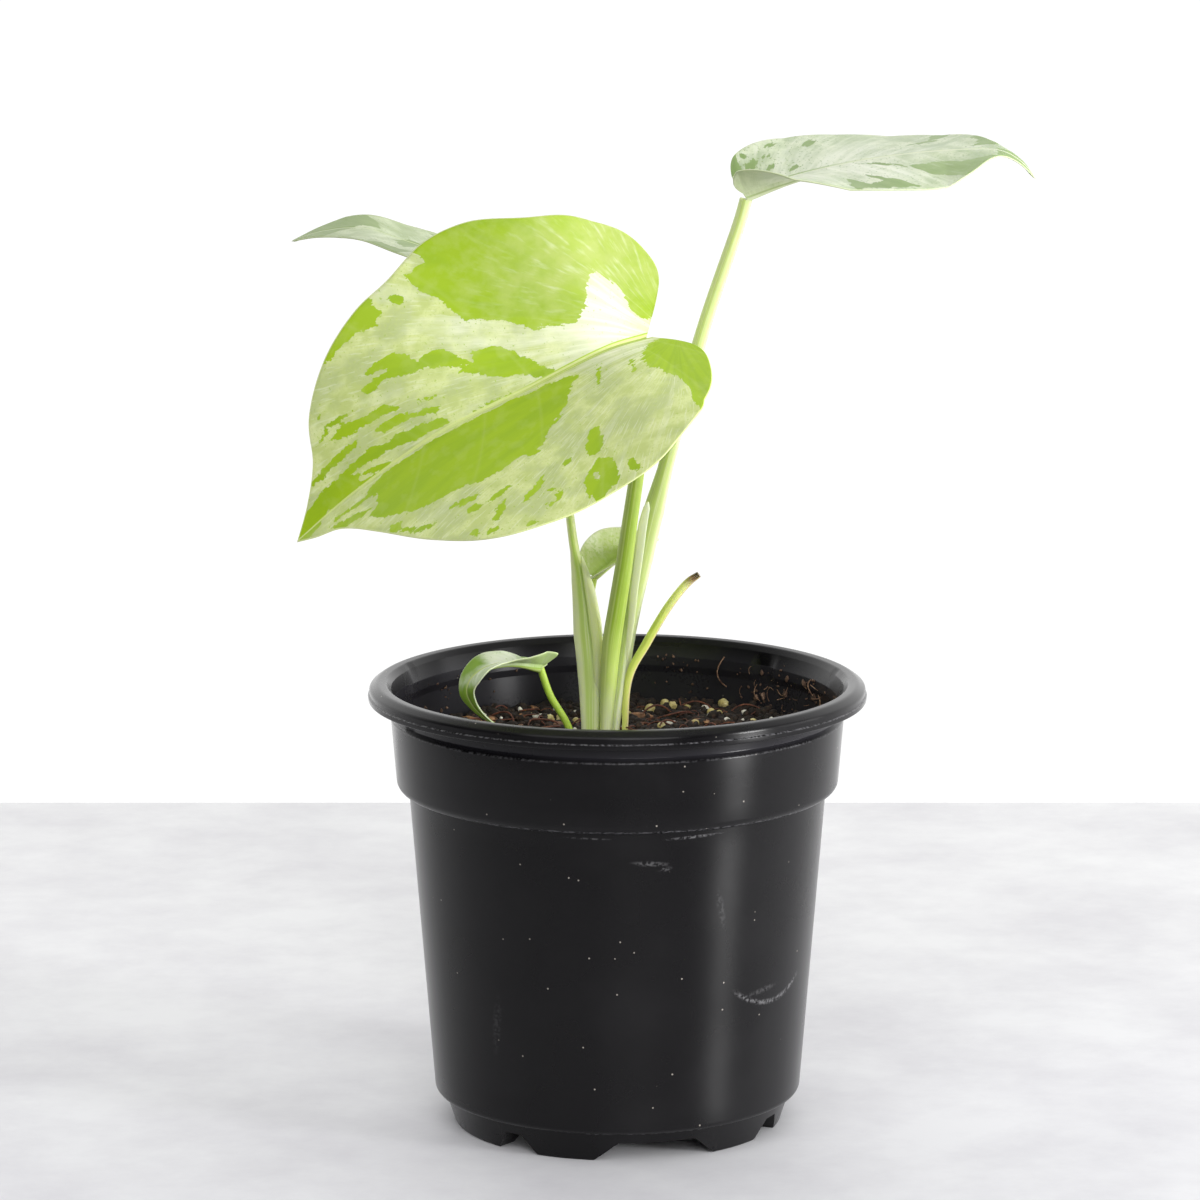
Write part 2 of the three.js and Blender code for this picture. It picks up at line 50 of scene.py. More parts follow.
MM = 0.001
pot_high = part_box("pot")[1]
POT_HEIGHT = pot_high.z / MM
RIM_RADIUS = pot_high.y / MM
WALL = 1.0
CREST_RADIUS = RIM_RADIUS - 2.4
BAND_TOP_RADIUS, BAND_TOP = 50.0, 91.5
BAND_LOW_RADIUS, BAND_LOW = 48.8, 75.9
BODY_TOP_RADIUS, BODY_TOP = 46.1, 75.3
BODY_LOW_RADIUS, BODY_LOW = 40.7, 7.2
FOOT_RADIUS, FOOT_TOP = 36.3, 6.7
FOOT_INNER_RADIUS = 31.0
CENTRE_PAD_RADIUS = 17.0
CHANNEL_HEIGHT = 4.4
POT_SIDES = 240

pot_outside = [
    (0, 0, 0),
    (CENTRE_PAD_RADIUS, 0, 0.6),
    (CENTRE_PAD_RADIUS + 1.6, CHANNEL_HEIGHT, 0.8),
    (FOOT_INNER_RADIUS - 1.4, CHANNEL_HEIGHT, 0.8),
    (FOOT_INNER_RADIUS, 0, 0.4),
    (FOOT_RADIUS, 0, 0.6),
    (FOOT_RADIUS + 2.2, FOOT_TOP, 0.15),
    (BODY_LOW_RADIUS - 0.1, BODY_LOW, 1.5),
    (BODY_TOP_RADIUS, BODY_TOP, 0.25),
    (BAND_LOW_RADIUS - 0.1, BAND_LOW, 2.2),
    (BAND_TOP_RADIUS, BAND_TOP, 0.5),
    (BAND_TOP_RADIUS - 0.9, BAND_TOP + 1, 0.3),
]
rim_lip = [
    (BAND_TOP_RADIUS, POT_HEIGHT - 2.1, 0.5),
    (RIM_RADIUS - 1.1, POT_HEIGHT - 2.3, 0.3),
    (RIM_RADIUS - 1.1, POT_HEIGHT - 3.9, 0.1),
    (RIM_RADIUS - 0.1, POT_HEIGHT - 3.9, 0.35),
    (RIM_RADIUS, POT_HEIGHT - 2.75, 0.12),
    (RIM_RADIUS - 0.35, POT_HEIGHT - 2.6, 0.08),
    (RIM_RADIUS - 0.25, POT_HEIGHT - 1.2, 0.9),
    (CREST_RADIUS + 0.4, POT_HEIGHT, 1.6),
    (CREST_RADIUS - 1.6, POT_HEIGHT - 0.1, 0.8),
    (CREST_RADIUS - 2.7, POT_HEIGHT - 1.3, 0.6),
]
pot_inside = [
    (BAND_TOP_RADIUS - 1.4, POT_HEIGHT - 4.3, 0.8),
    (BAND_TOP_RADIUS - 1.6, BAND_TOP + 1.4, 0.35),
    (BAND_TOP_RADIUS - WALL, BAND_TOP - 0.2, 0.35),
    (BAND_LOW_RADIUS - WALL, BAND_LOW + 1.8, 1.4),
    (BODY_TOP_RADIUS - WALL, BODY_TOP + 0.9, 0.6),
    (BODY_LOW_RADIUS - WALL, BODY_LOW + 2.5, 1.2),
    (FOOT_RADIUS + 1, FOOT_TOP + 1.2, 0.3),
    (FOOT_RADIUS - 0.9, WALL, 0.5),
    (FOOT_INNER_RADIUS + 1, WALL, 0.3),
    (FOOT_INNER_RADIUS - 0.6, CHANNEL_HEIGHT + WALL, 0.4),
    (CENTRE_PAD_RADIUS + 0.8, CHANNEL_HEIGHT + WALL, 0.4),
    (CENTRE_PAD_RADIUS - 0.8, WALL, 0.4),
    (0, WALL, 0),
]


def unit(vectors):
    """Vectors scaled to a length of one."""
    return vectors / np.linalg.norm(vectors, axis=-1, keepdims=True)


def ease(low, high, value):
    """0 below low, 1 above high and smooth between them."""
    share = np.clip((np.asarray(value, float) - low) / (high - low), 0, 1)
    return share * share * (3 - 2 * share)


def rounded(corners, steps=5):
    """An outline whose corners (across, up, radius) are rounded by arcs of their radius."""
    outline = []
    for k, (across, up, radius) in enumerate(corners):
        corner = np.array([across, up], float)
        if radius == 0:
            outline.append(corner)
            continue
        before = unit(np.array(corners[k - 1][:2]) - corner)
        after = unit(np.array(corners[k + 1][:2]) - corner)
        half = math.acos(np.clip(before @ after, -1, 1)) / 2
        centre = corner + unit(before + after) * radius / math.sin(half)
        start = corner + before * radius / math.tan(half) - centre
        end = corner + after * radius / math.tan(half) - centre
        sweep = math.pi - 2 * half
        for share in np.linspace(0, 1, steps + 1):
            arc = math.sin((1 - share) * sweep) * start + math.sin(share * sweep) * end
            outline.append(centre + arc / math.sin(sweep))
    return np.array(outline)


def finely(outline, longest):
    """The outline with further points, so that no stretch of it is longer than a length."""
    filled = [outline[0]]
    for start, end in zip(outline, outline[1:]):
        count = math.ceil(np.linalg.norm(end - start) / longest)
        filled += [start + (end - start) * k / count for k in range(1, count + 1)]
    return np.array(filled)


def closed_faces(number, low, high):
    """Faces between rings of point numbers, closed at the ends by fans round the points low and high."""
    following = np.roll(number, -1, axis=1)
    walls = np.stack([number[:-1], following[:-1], following[1:], number[1:]], axis=-1)
    faces = walls.reshape(-1, 4).tolist()
    faces += [[low, int(b), int(a)] for a, b in zip(number[0], following[0])]
    faces += [[int(a), int(b), high] for a, b in zip(number[-1], following[-1])]
    return faces


def turned(outline, sides, swell=None):
    """Points and faces of an outline (radius, height) turned round Z, from the axis to the axis."""
    angles = 2 * math.pi * np.arange(sides) / sides
    radius = np.repeat(outline[1:-1, :1], sides, axis=1)
    height = np.repeat(outline[1:-1, 1:], sides, axis=1)
    if swell is not None:
        radius = radius + swell(radius, height, angles[None, :])
    rings = np.stack([radius * np.cos(angles), radius * np.sin(angles), height], axis=-1)
    points = np.vstack([[0, 0, outline[0, 1]], rings.reshape(-1, 3), [0, 0, outline[-1, 1]]])
    number = 1 + np.arange(radius.size).reshape(radius.shape)
    return points, closed_faces(number, 0, len(points) - 1)


def shaped(name, points, faces, smooth_below=40):
    """An object of the scene from points in millimetres, smooth where faces meet at less than an angle."""
    mesh = bpy.data.meshes.new(name)
    mesh.from_pydata(np.asarray(points) * MM, [], faces)
    made = bpy.data.objects.new(name, mesh)
    bpy.context.scene.collection.objects.link(made)
    mesh.shade_smooth()
    mesh.set_sharp_from_angle(angle=math.radians(smooth_below))
    return made


def settle(made):
    """Turns an object with its modifiers into a plain mesh."""
    view = bpy.context.evaluated_depsgraph_get()
    mesh = bpy.data.meshes.new_from_object(made.evaluated_get(view))
    made.modifiers.clear()
    made.data = mesh


def combine(body, tool, operation):
    """Joins a closed tool to a closed body, or cuts it away, and drops the tool."""
    step = body.modifiers.new("combine", "BOOLEAN")
    step.solver = "MANIFOLD"
    step.operation = operation
    step.object = tool
    settle(body)
    bpy.data.objects.remove(tool)


# The neck between band and rim stands back in long arcs. In two gaps it is flush, and the mould's
# marks nick the inner edge of the rim at both sides.
NECK_DEPTH = 0.85
NECK_GAPS = ((44, 50), (161, 205))
GAP_FLANK = 0.6
RIM_NICKS = (14.5, 158.0)
NICK_DEPTH = 0.4
NICK_DEGREES = 0.9
RIM_EDGE_RADIUS = CREST_RADIUS - 2.4
RIM_EDGE_BREADTH = 0.9


def pot_swell(radius, height, angles):
    """How far the wall stands out from its outline at the gaps of the neck and the nicks of the rim."""
    degrees = np.degrees(angles) % 360
    flush = sum(
        ease(start - GAP_FLANK, start, degrees) * (1 - ease(end, end + GAP_FLANK, degrees))
        for start, end in NECK_GAPS
    )
    in_neck = (height > BAND_TOP + 0.3) & (height < POT_HEIGHT - 2) & (radius < BAND_TOP_RADIUS - 0.3)
    nick = sum(np.exp(-(((degrees - place) / NICK_DEGREES) ** 2)) for place in RIM_NICKS)
    on_edge = np.exp(-(((radius - RIM_EDGE_RADIUS) / RIM_EDGE_BREADTH) ** 2)) * (height > POT_HEIGHT - 2.5)
    return NECK_DEPTH * flush * in_neck + NICK_DEPTH * nick * on_edge


def prism(half_low, half_high, low, high, inner, outer, turn):
    """A bar with a tapered section that points away from the axis, turned from the front."""
    cos, sin = math.cos(math.radians(turn)), math.sin(math.radians(turn))
    corners = []
    for distance in (inner, outer):
        for half, up in ((half_low, low), (half_high, high)):
            for side in (-1, 1):
                corners.append((side * half * cos + distance * sin, side * half * sin - distance * cos, up))
    sides = [(0, 2, 3, 1), (4, 5, 7, 6), (0, 1, 5, 4), (2, 6, 7, 3), (0, 4, 6, 2), (1, 3, 7, 5)]
    return corners, sides


def gathered(name, parts):
    """One object of several loose closed parts."""
    points, faces = [], []
    for part_points, part_faces in parts:
        faces += [[corner + len(points) for corner in face] for face in part_faces]
        points += [list(point) for point in part_points]
    return shaped(name, points, faces)


# The notches: half widths at the floor and at the roof, and their directions round the foot
WIDE_NOTCH = (13.5, 8.6)
NARROW_NOTCH = (5.4, 2.1)
WIDE_TURN = 13.5
NARROW_OFFSET = 50.5
NOTCH_INSIDE, NOTCH_OUTSIDE = FOOT_INNER_RADIUS - 4, FOOT_INNER_RADIUS + 16
NOTCH_START = -2.0
DRAIN_RADIUS, DRAIN_CIRCLE = 3.0, 24.0
notches = [
    (size, half_turn + WIDE_TURN + offset)
    for half_turn in (0, 180)
    for size, offset in ((WIDE_NOTCH, 0), (NARROW_NOTCH, NARROW_OFFSET), (NARROW_NOTCH, -NARROW_OFFSET))
]


def notch_parts(grown):
    """The tapered bars that cut the notches, grown by a length on their sides and roof."""
    parts = []
    for (low, high), turn in notches:
        slope = (low - high) / CHANNEL_HEIGHT
        side = grown * math.hypot(1, slope)
        top = CHANNEL_HEIGHT + grown
        widths = [low - slope * up + side for up in (NOTCH_START, top)]
        parts.append(prism(*widths, NOTCH_START, top, NOTCH_INSIDE, NOTCH_OUTSIDE, turn))
    return parts


def drain_parts(sides=32):
    """The rods that cut a drain hole in the channel's roof behind each notch."""
    long = 4 * CHANNEL_HEIGHT
    rod = np.array([(0, 0), (DRAIN_RADIUS, 0), (DRAIN_RADIUS, long), (0, long)])
    parts = []
    for _, turn in notches:
        points, faces = turned(rod, sides)
        away = math.radians(turn - 90)
        shift = (DRAIN_CIRCLE * math.cos(away), DRAIN_CIRCLE * math.sin(away), -long / 2)
        parts.append((points + shift, faces))
    return parts


LONGEST_STRETCH = 4.0
SMOOTH_BELOW = 38
pot_outline = finely(rounded(pot_outside + rim_lip + pot_inside), LONGEST_STRETCH)
pot = shaped("nursery_pot", *turned(pot_outline, POT_SIDES, pot_swell))
envelope_outline = rounded([*pot_outside, (0, BAND_TOP + 1, 0)])
linings = gathered("linings", notch_parts(WALL))
combine(linings, shaped("envelope", *turned(envelope_outline, POT_SIDES)), "INTERSECT")
combine(pot, linings, "UNION")
combine(pot, gathered("notches", notch_parts(0)), "DIFFERENCE")
combine(pot, gathered("drains", drain_parts()), "DIFFERENCE")
pot.data.shade_smooth()
pot.data.set_sharp_from_angle(angle=math.radians(SMOOTH_BELOW))
pot.data.materials.clear()


def linear(colour):
    """An sRGB hex colour as linear red, green and blue, with alpha."""
    parts = [int(colour[k:k + 2], 16) / 255 for k in (1, 3, 5)]
    return [p / 12.92 if p <= 0.04045 else ((p + 0.055) / 1.055) ** 2.4 for p in parts] + [1.0]


def add(tree, kind, settings=None, inputs=None, stops=None):
    """Adds a node. An input takes a value, a hex colour, a socket or, from a node, its first output."""
    made = tree.nodes.new(kind)
    for key, value in (settings or {}).items():
        setattr(made, key, value)
    for key, value in (inputs or {}).items():
        source = value.outputs[0] if isinstance(value, bpy.types.Node) else value
        if isinstance(source, bpy.types.NodeSocket):
            tree.links.new(source, made.inputs[key])
        elif isinstance(source, str):
            made.inputs[key].default_value = linear(source)
        else:
            made.inputs[key].default_value = source
    for k, (place, colour) in enumerate(stops or []):
        stop = made.color_ramp.elements[k] if k < 2 else made.color_ramp.elements.new(place)
        stop.position = place
        stop.color = linear(colour)
    return made


# Settings that many nodes share
SOFT_STEP = {"interpolation_type": "SMOOTHSTEP"}
TIMES = {"operation": "MULTIPLY"}
SCALE = {"operation": "SCALE"}


def finish_of(name):
    """A new material with its principled shader."""
    made = bpy.data.materials.new(name)
    made.use_nodes = True
    made.node_tree.nodes.clear()
    shader = made.node_tree.nodes.new("ShaderNodeBsdfPrincipled")
    output = made.node_tree.nodes.new("ShaderNodeOutputMaterial")
    made.node_tree.links.new(shader.outputs[0], output.inputs[0])
    return made, made.node_tree, shader


def join(made, slot, *nodes):
    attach(made, "root")
    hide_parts(*nodes)


# Black polypropylene, injection moulded and handled: a satin skin with a faint ripple, a grey bloom of
# dust, pale specks of soil dust, edges rubbed pale in stretches, partly a painted highlight, a few pale
# smears, and a painted sheen on the inner wall
BLOOM_BREADTH = 22
SPECK_SPACING = 3.6
SCRATCH_BREADTH = 0.7
RIPPLE_BREADTH, RIPPLE_HEIGHT = 1.6, 0.2
SMEARS = [
    # degrees round from the front, height, half length, half breadth, turn, strength
    (9, 68.5, 5.0, 0.8, -4, 0.12), (13, 67.2, 2.0, 0.7, 10, 0.10), (21, 74.0, 8.0, 0.45, 2, 0.18),
    (-8, 74.2, 6.0, 0.3, -1, 0.10), (30, 57.0, 1.2, 6.0, 12, 0.05), (-38, 30.0, 1.6, 9.0, -8, 0.03),
    (47, 36.5, 6.5, 0.9, 6, 0.07),
]
SMEAR_RADIUS = 43.5
# A curved scratch low on the right of the wall: the lower part of a circle, which fades out upwards
ARC_CENTRE = (39.0, 51.5)
ARC_RADIUS, ARC_BREADTH, ARC_CORE = 18.0, 0.8, 0.1
ARC_LOW, ARC_FADE, ARC_STRENGTH = 38.5, 3, 0.19
# Pale lines along the edges, broken by the scratch noise: rubbed wear, and in part a painted highlight where
# an edge catches the light
RUBBED_EDGES_AND_HIGHLIGHTS = [
    # height, breadth, least radius, strength
    (POT_HEIGHT - 2.7, 0.2, RIM_RADIUS - 0.5, 0.3), (BAND_TOP, 0.35, BAND_TOP_RADIUS - 0.5, 0.14),
    (BAND_LOW, 0.4, BODY_TOP_RADIUS, 0.3), (FOOT_TOP, 0.3, FOOT_RADIUS + 1, 0.2),
]
polypropylene, tree, shader = finish_of("black_moulded_polypropylene")
spot = add(tree, "ShaderNodeTexCoord").outputs["Object"]
parts = add(tree, "ShaderNodeSeparateXYZ", None, {0: spot})
bloom = add(tree, "ShaderNodeTexNoise", None,
            {"Vector": spot, "Scale": 1 / (BLOOM_BREADTH * MM), "Detail": 5.0})
bloom_share = add(tree, "ShaderNodeMapRange", SOFT_STEP, {"Value": bloom, "From Min": 0.42, "From Max": 0.72})
skin = add(tree, "ShaderNodeMixRGB", None, {"Fac": bloom_share, "Color1": "#09080a", "Color2": "#100f11"})
cells = add(tree, "ShaderNodeTexVoronoi", None,
            {"Vector": spot, "Scale": 1 / (SPECK_SPACING * MM), "Randomness": 1.0})
near = add(tree, "ShaderNodeMapRange", SOFT_STEP,
           {"Value": cells.outputs["Distance"], "From Min": 0.07, "From Max": 0.035, "To Max": 0.6})
chosen = add(tree, "ShaderNodeMath", {"operation": "GREATER_THAN"}, {0: cells.outputs["Color"], 1: 0.55})
specks = add(tree, "ShaderNodeMath", TIMES, {0: near, 1: chosen})
skin = add(tree, "ShaderNodeMixRGB", None, {"Fac": specks, "Color1": skin, "Color2": "#b5aea4"})
backward = add(tree, "ShaderNodeMath", TIMES, {0: parts.outputs[1], 1: -1.0})
turn = add(tree, "ShaderNodeMath", {"operation": "ARCTAN2"}, {0: parts.outputs[0], 1: backward})
round_wall = add(tree, "ShaderNodeMath", TIMES, {0: turn, 1: SMEAR_RADIUS * MM})
on_wall = add(tree, "ShaderNodeCombineXYZ", None, {0: round_wall, 1: parts.outputs[2]})
scratch = add(tree, "ShaderNodeTexNoise", None,
              {"Vector": spot, "Scale": 1 / (SCRATCH_BREADTH * MM), "Detail": 6.0})
scratched = add(tree, "ShaderNodeMapRange", SOFT_STEP, {"Value": scratch, "From Min": 0.4, "From Max": 0.62})
for degrees, height, half_long, half_high, tilt, strength in SMEARS:
    centre = (math.radians(degrees) * SMEAR_RADIUS * MM, height * MM, 0)
    placed = add(tree, "ShaderNodeMapping", {"vector_type": "TEXTURE"},
                 {"Vector": on_wall, "Location": centre, "Rotation": (0, 0, math.radians(tilt)),
                  "Scale": (half_long * MM, half_high * MM, 1)})
    away = add(tree, "ShaderNodeVectorMath", {"operation": "LENGTH"}, {0: placed}).outputs["Value"]
    smear = add(tree, "ShaderNodeMapRange", SOFT_STEP,
                {"Value": away, "From Min": 1.0, "From Max": 0.2, "To Max": strength})
    broken = add(tree, "ShaderNodeMath", TIMES, {0: smear, 1: scratched})
    skin = add(tree, "ShaderNodeMixRGB", None, {"Fac": broken, "Color1": skin, "Color2": "#c9c8cb"})
from_arc = add(tree, "ShaderNodeVectorMath", {"operation": "DISTANCE"},
               {0: on_wall, 1: (ARC_CENTRE[0] * MM, ARC_CENTRE[1] * MM, 0)}).outputs["Value"]
off_arc = add(tree, "ShaderNodeMath", {"operation": "SUBTRACT"}, {0: from_arc, 1: ARC_RADIUS * MM})
beside = add(tree, "ShaderNodeMath", {"operation": "ABSOLUTE"}, {0: off_arc})
arc = add(tree, "ShaderNodeMapRange", SOFT_STEP,
          {"Value": beside, "From Min": ARC_BREADTH * MM, "From Max": ARC_CORE * MM, "To Max": ARC_STRENGTH})
low_enough = add(tree, "ShaderNodeMapRange", SOFT_STEP,
                 {"Value": parts.outputs[2], "From Min": ARC_LOW * MM,
                  "From Max": (ARC_LOW - ARC_FADE) * MM})
arc_share = add(tree, "ShaderNodeMath", TIMES, {0: arc, 1: low_enough})
arc_broken = add(tree, "ShaderNodeMath", TIMES, {0: arc_share, 1: scratched})
skin = add(tree, "ShaderNodeMixRGB", None, {"Fac": arc_broken, "Color1": skin, "Color2": "#c9c8cb"})
grime_and_painted_sheen = add(tree, "ShaderNodeSeparateXYZ", None,
           {0: add(tree, "ShaderNodeAttribute", {"attribute_name": "grime_and_painted_sheen"}).outputs["Vector"]})
across_only = add(tree, "ShaderNodeVectorMath", TIMES, {0: spot, 1: (1, 1, 0)})
from_axis = add(tree, "ShaderNodeVectorMath", {"operation": "LENGTH"}, {0: across_only}).outputs["Value"]
# Each edge gets its pale line, partly rubbed wear and partly a painted highlight
for height, breadth, least_radius, strength in RUBBED_EDGES_AND_HIGHLIGHTS:
    off_line = add(tree, "ShaderNodeMath", {"operation": "SUBTRACT"}, {0: parts.outputs[2], 1: height * MM})
    beside = add(tree, "ShaderNodeMath", {"operation": "ABSOLUTE"}, {0: off_line})
    line = add(tree, "ShaderNodeMapRange", SOFT_STEP,
               {"Value": beside, "From Min": breadth * MM, "From Max": 0.2 * breadth * MM,
                "To Max": strength})
    outside = add(tree, "ShaderNodeMath", {"operation": "GREATER_THAN"}, {0: from_axis, 1: least_radius * MM})
    on_edge = add(tree, "ShaderNodeMath", TIMES, {0: line, 1: outside})
    rubbed_and_highlighted = add(tree, "ShaderNodeMath", TIMES, {0: on_edge, 1: scratched})
    skin = add(tree, "ShaderNodeMixRGB", None, {"Fac": rubbed_and_highlighted, "Color1": skin, "Color2": "#9c9ba0"})
dirty = add(tree, "ShaderNodeMath", TIMES, {0: grime_and_painted_sheen.outputs[0], 1: scratched})
skin = add(tree, "ShaderNodeMixRGB", None, {"Fac": dirty, "Color1": skin, "Color2": "#2b2625"})
# Painted sheen: the inner wall is lightened to grey-blue, over a little dust haze
skin = add(tree, "ShaderNodeMixRGB", None, {"Fac": grime_and_painted_sheen.outputs[1], "Color1": skin, "Color2": "#2a292e"})
tree.links.new(skin.outputs[0], shader.inputs["Base Color"])
rough = add(tree, "ShaderNodeMapRange", None,
            {"Value": bloom, "From Min": 0.3, "From Max": 0.75, "To Min": 0.25, "To Max": 0.32})
rougher = add(tree, "ShaderNodeMath", {"operation": "MULTIPLY_ADD"}, {0: dirty, 1: 0.4, 2: rough})
tree.links.new(rougher.outputs[0], shader.inputs["Roughness"])
ripple = add(tree, "ShaderNodeTexNoise", None,
             {"Vector": spot, "Scale": 1 / (RIPPLE_BREADTH * MM), "Detail": 3.0})
bump = add(tree, "ShaderNodeBump", None,
           {"Height": ripple, "Strength": 0.025, "Distance": RIPPLE_HEIGHT * MM})
tree.links.new(bump.outputs[0], shader.inputs["Normal"])
# The mould was turned on a lathe: its faint rings spread a reflection up and down the wall
lathe_rings = add(tree, "ShaderNodeTangent", {"direction_type": "RADIAL", "axis": "Z"})
tree.links.new(lathe_rings.outputs[0], shader.inputs["Tangent"])
shader.inputs["Anisotropic"].default_value = 0.8
shader.inputs["Anisotropic Rotation"].default_value = 0.25
shader.inputs["IOR"].default_value = 1.49
shader.inputs["Specular IOR Level"].default_value = 0.24


def note(mesh, name, values):
    """Stores three numbers a point for the material to read."""
    layer = mesh.attributes.new(name, "FLOAT_VECTOR", "POINT")
    layer.data.foreach_set("vector", np.asarray(values, np.float32).ravel())


def corners_of(mesh):
    """The points of a mesh in millimetres."""
    points = np.empty(3 * len(mesh.vertices))
    mesh.vertices.foreach_get("co", points)
    return points.reshape(-1, 3) / MM


# Above the soil the inner wall has a painted sheen, a lighter grey-blue over a little dust haze, and is
# grimed where the soil has splashed it
DUST_AND_PAINTED_SHEEN, GRIME = 0.7, 0.25
CLEAN_BELOW_RIM, GRIMED_BELOW_RIM = 6, 16
across, back, up = corners_of(pot.data).T
wall_middle = np.interp(up, [BAND_LOW, BAND_TOP], [BAND_LOW_RADIUS, BAND_TOP_RADIUS]) - WALL / 2
inner_wall = (np.hypot(across, back) < wall_middle) & (up > BAND_LOW + 2)
low_down = ease(POT_HEIGHT - CLEAN_BELOW_RIM, POT_HEIGHT - GRIMED_BELOW_RIM, up)
note(pot.data, "grime_and_painted_sheen", np.stack([GRIME * inner_wall * low_down, DUST_AND_PAINTED_SHEEN * inner_wall, 0 * up], axis=-1))
pot.data.materials.append(polypropylene)
join(pot, "pot", "pot")


# Soil. A damp potting mix of peat, bark chips, perlite and round fertiliser grains, poured round the
# roots and pressed lightly, so its top is uneven and loose pieces lie half sunk in it.

SOIL_LEVEL = 84.8
SOIL_GAP = 0.3
SOIL_RADIUS = 47.75
SOIL_RINGS = 96
SOIL_SIDES = 200


def soil_height(x, y):
    """Height of the soil's top: a low mound round the stalks, lumps in two sizes and a slight slope."""
    mound = 1.1 * np.exp(-(((x + 3) / 14) ** 2) - (y / 12) ** 2)
    broad = 0.55 * np.sin(0.31 * x + 1) * np.cos(0.27 * y)
    small = 0.35 * np.sin(0.83 * x - 0.4 * y) * np.sin(0.71 * y + 0.5 * x)
    slope = 0.012 * x
    return SOIL_LEVEL + mound + broad + small + slope


CRUMB_BREADTH, CRUMB_HEIGHT = 3.1, 0.75


def crumbled(x, y):
    """Crumbs of the soil's top, in millimetres above or below the mean height."""
    place = Vector((x / CRUMB_BREADTH, y / CRUMB_BREADTH, 4.2))
    return CRUMB_HEIGHT * noise.fractal(place, 0.7, 2.1, 4)


hidden_side = rounded([
    (0, WALL + SOIL_GAP, 0),
    (CENTRE_PAD_RADIUS - 1.1, WALL + SOIL_GAP, 0.3),
    (CENTRE_PAD_RADIUS + 0.5, CHANNEL_HEIGHT + WALL + SOIL_GAP, 0.3),
    (FOOT_RADIUS - 0.2, CHANNEL_HEIGHT + WALL + SOIL_GAP, 0.3),
    (FOOT_RADIUS + 0.6, FOOT_TOP + WALL + SOIL_GAP, 0.2),
    (BODY_LOW_RADIUS - WALL - SOIL_GAP, BODY_LOW + 2.9, 0.6),
    (BODY_TOP_RADIUS - WALL - SOIL_GAP, BODY_TOP + 1, 0.6),
    (BAND_LOW_RADIUS - WALL - SOIL_GAP, BAND_LOW + 2.2, 0.6),
    (SOIL_RADIUS, SOIL_LEVEL - 3, 0),
])
soil_rings = [(SOIL_RADIUS * (1 - k / SOIL_RINGS), SOIL_LEVEL) for k in range(SOIL_RINGS + 1)]
soil_points, soil_faces = turned(np.vstack([hidden_side, soil_rings]), SOIL_SIDES)
for point in soil_points:
    if point[2] > SOIL_LEVEL - 0.01:
        point[2] = soil_height(point[0], point[1]) + crumbled(point[0], point[1])
soil = shaped("potting_soil", soil_points, soil_faces, 180)

# Damp peat: nearly black brown, with lighter fibrous crumbs where it has dried
peat, tree, shader = finish_of("damp_peat")
spot = add(tree, "ShaderNodeTexCoord").outputs["Object"]
crumb = add(tree, "ShaderNodeTexNoise", None, {"Vector": spot, "Scale": 1 / (1.4 * MM), "Detail": 8.0})
brown = add(tree, "ShaderNodeValToRGB", None, {"Fac": crumb},
            [(0.32, "#0f0a07"), (0.75, "#3f2b1f"), (0.5, "#1f140f"), (0.6, "#2c1d15")])
tree.links.new(brown.outputs[0], shader.inputs["Base Color"])
shader.inputs["Roughness"].default_value = 0.9
bump = add(tree, "ShaderNodeBump", None, {"Height": crumb, "Strength": 0.8, "Distance": 0.5 * MM})
tree.links.new(bump.outputs[0], shader.inputs["Normal"])
soil.data.materials.append(peat)
join(soil, "soil", "soil")


def patch_of(name, points, faces):
    """A loose skin for grains to be strewn on."""
    made = shaped(name, points, faces)
    made.hide_render = True
    return made


def inlets(tree, **kinds):
    """Named inputs of a node tree by their plain names, and its geometry output."""
    made = {"Ground": tree.interface.new_socket("Ground", in_out="INPUT", socket_type="NodeSocketGeometry")}
    for title, kind in kinds.items():
        made[title] = tree.interface.new_socket(title, in_out="INPUT", socket_type="NodeSocket" + kind)
    tree.interface.new_socket("Grains", in_out="OUTPUT", socket_type="NodeSocketGeometry")
    return {title: socket.identifier for title, socket in made.items()}


def scatter(tree, given, density, shapes, size):
    """Lays the shapes on points strewn over the ground, each turned and sized at random."""
    scattered = add(tree, "GeometryNodeDistributePointsOnFaces", None,
                    {"Mesh": given["Ground"], "Density": density, "Seed": given["Seed"]})
    lift = add(tree, "ShaderNodeVectorMath", SCALE,
               {0: scattered.outputs["Normal"], "Scale": given["Lift"]})
    seated = add(tree, "GeometryNodeSetPosition", None, {"Geometry": scattered, "Offset": lift})
    most_turn = add(tree, "ShaderNodeCombineXYZ", None, {0: given["Tilt"], 1: given["Tilt"], 2: math.pi})
    any_turn = add(tree, "FunctionNodeRandomValue", {"data_type": "FLOAT_VECTOR"},
                   {0: (-1, -1, -1), 1: (1, 1, 1), "Seed": given["Seed"]})
    turned_by = add(tree, "ShaderNodeVectorMath", TIMES, {0: most_turn, 1: any_turn})
    smallest = add(tree, "ShaderNodeMath", {"operation": "SUBTRACT"}, {0: 1.0, 1: given["Spread"]})
    largest = add(tree, "ShaderNodeMath", {"operation": "ADD"}, {0: 1.0, 1: given["Spread"]})
    any_size = add(tree, "FunctionNodeRandomValue", None,
                   {2: smallest, 3: largest, "Seed": given["Seed"]}).outputs[1]
    sized = add(tree, "ShaderNodeVectorMath", SCALE, {0: size, "Scale": any_size})
    laid = add(tree, "GeometryNodeInstanceOnPoints", None,
               {"Points": seated, "Instance": shapes, "Pick Instance": True, "Rotation": turned_by,
                "Scale": sized})
    solid = add(tree, "GeometryNodeRealizeInstances", None, {0: laid})
    finished = add(tree, "GeometryNodeSetMaterial", None, {0: solid, "Material": given["Skin"]})
    add(tree, "NodeGroupOutput", None, {0: finished})


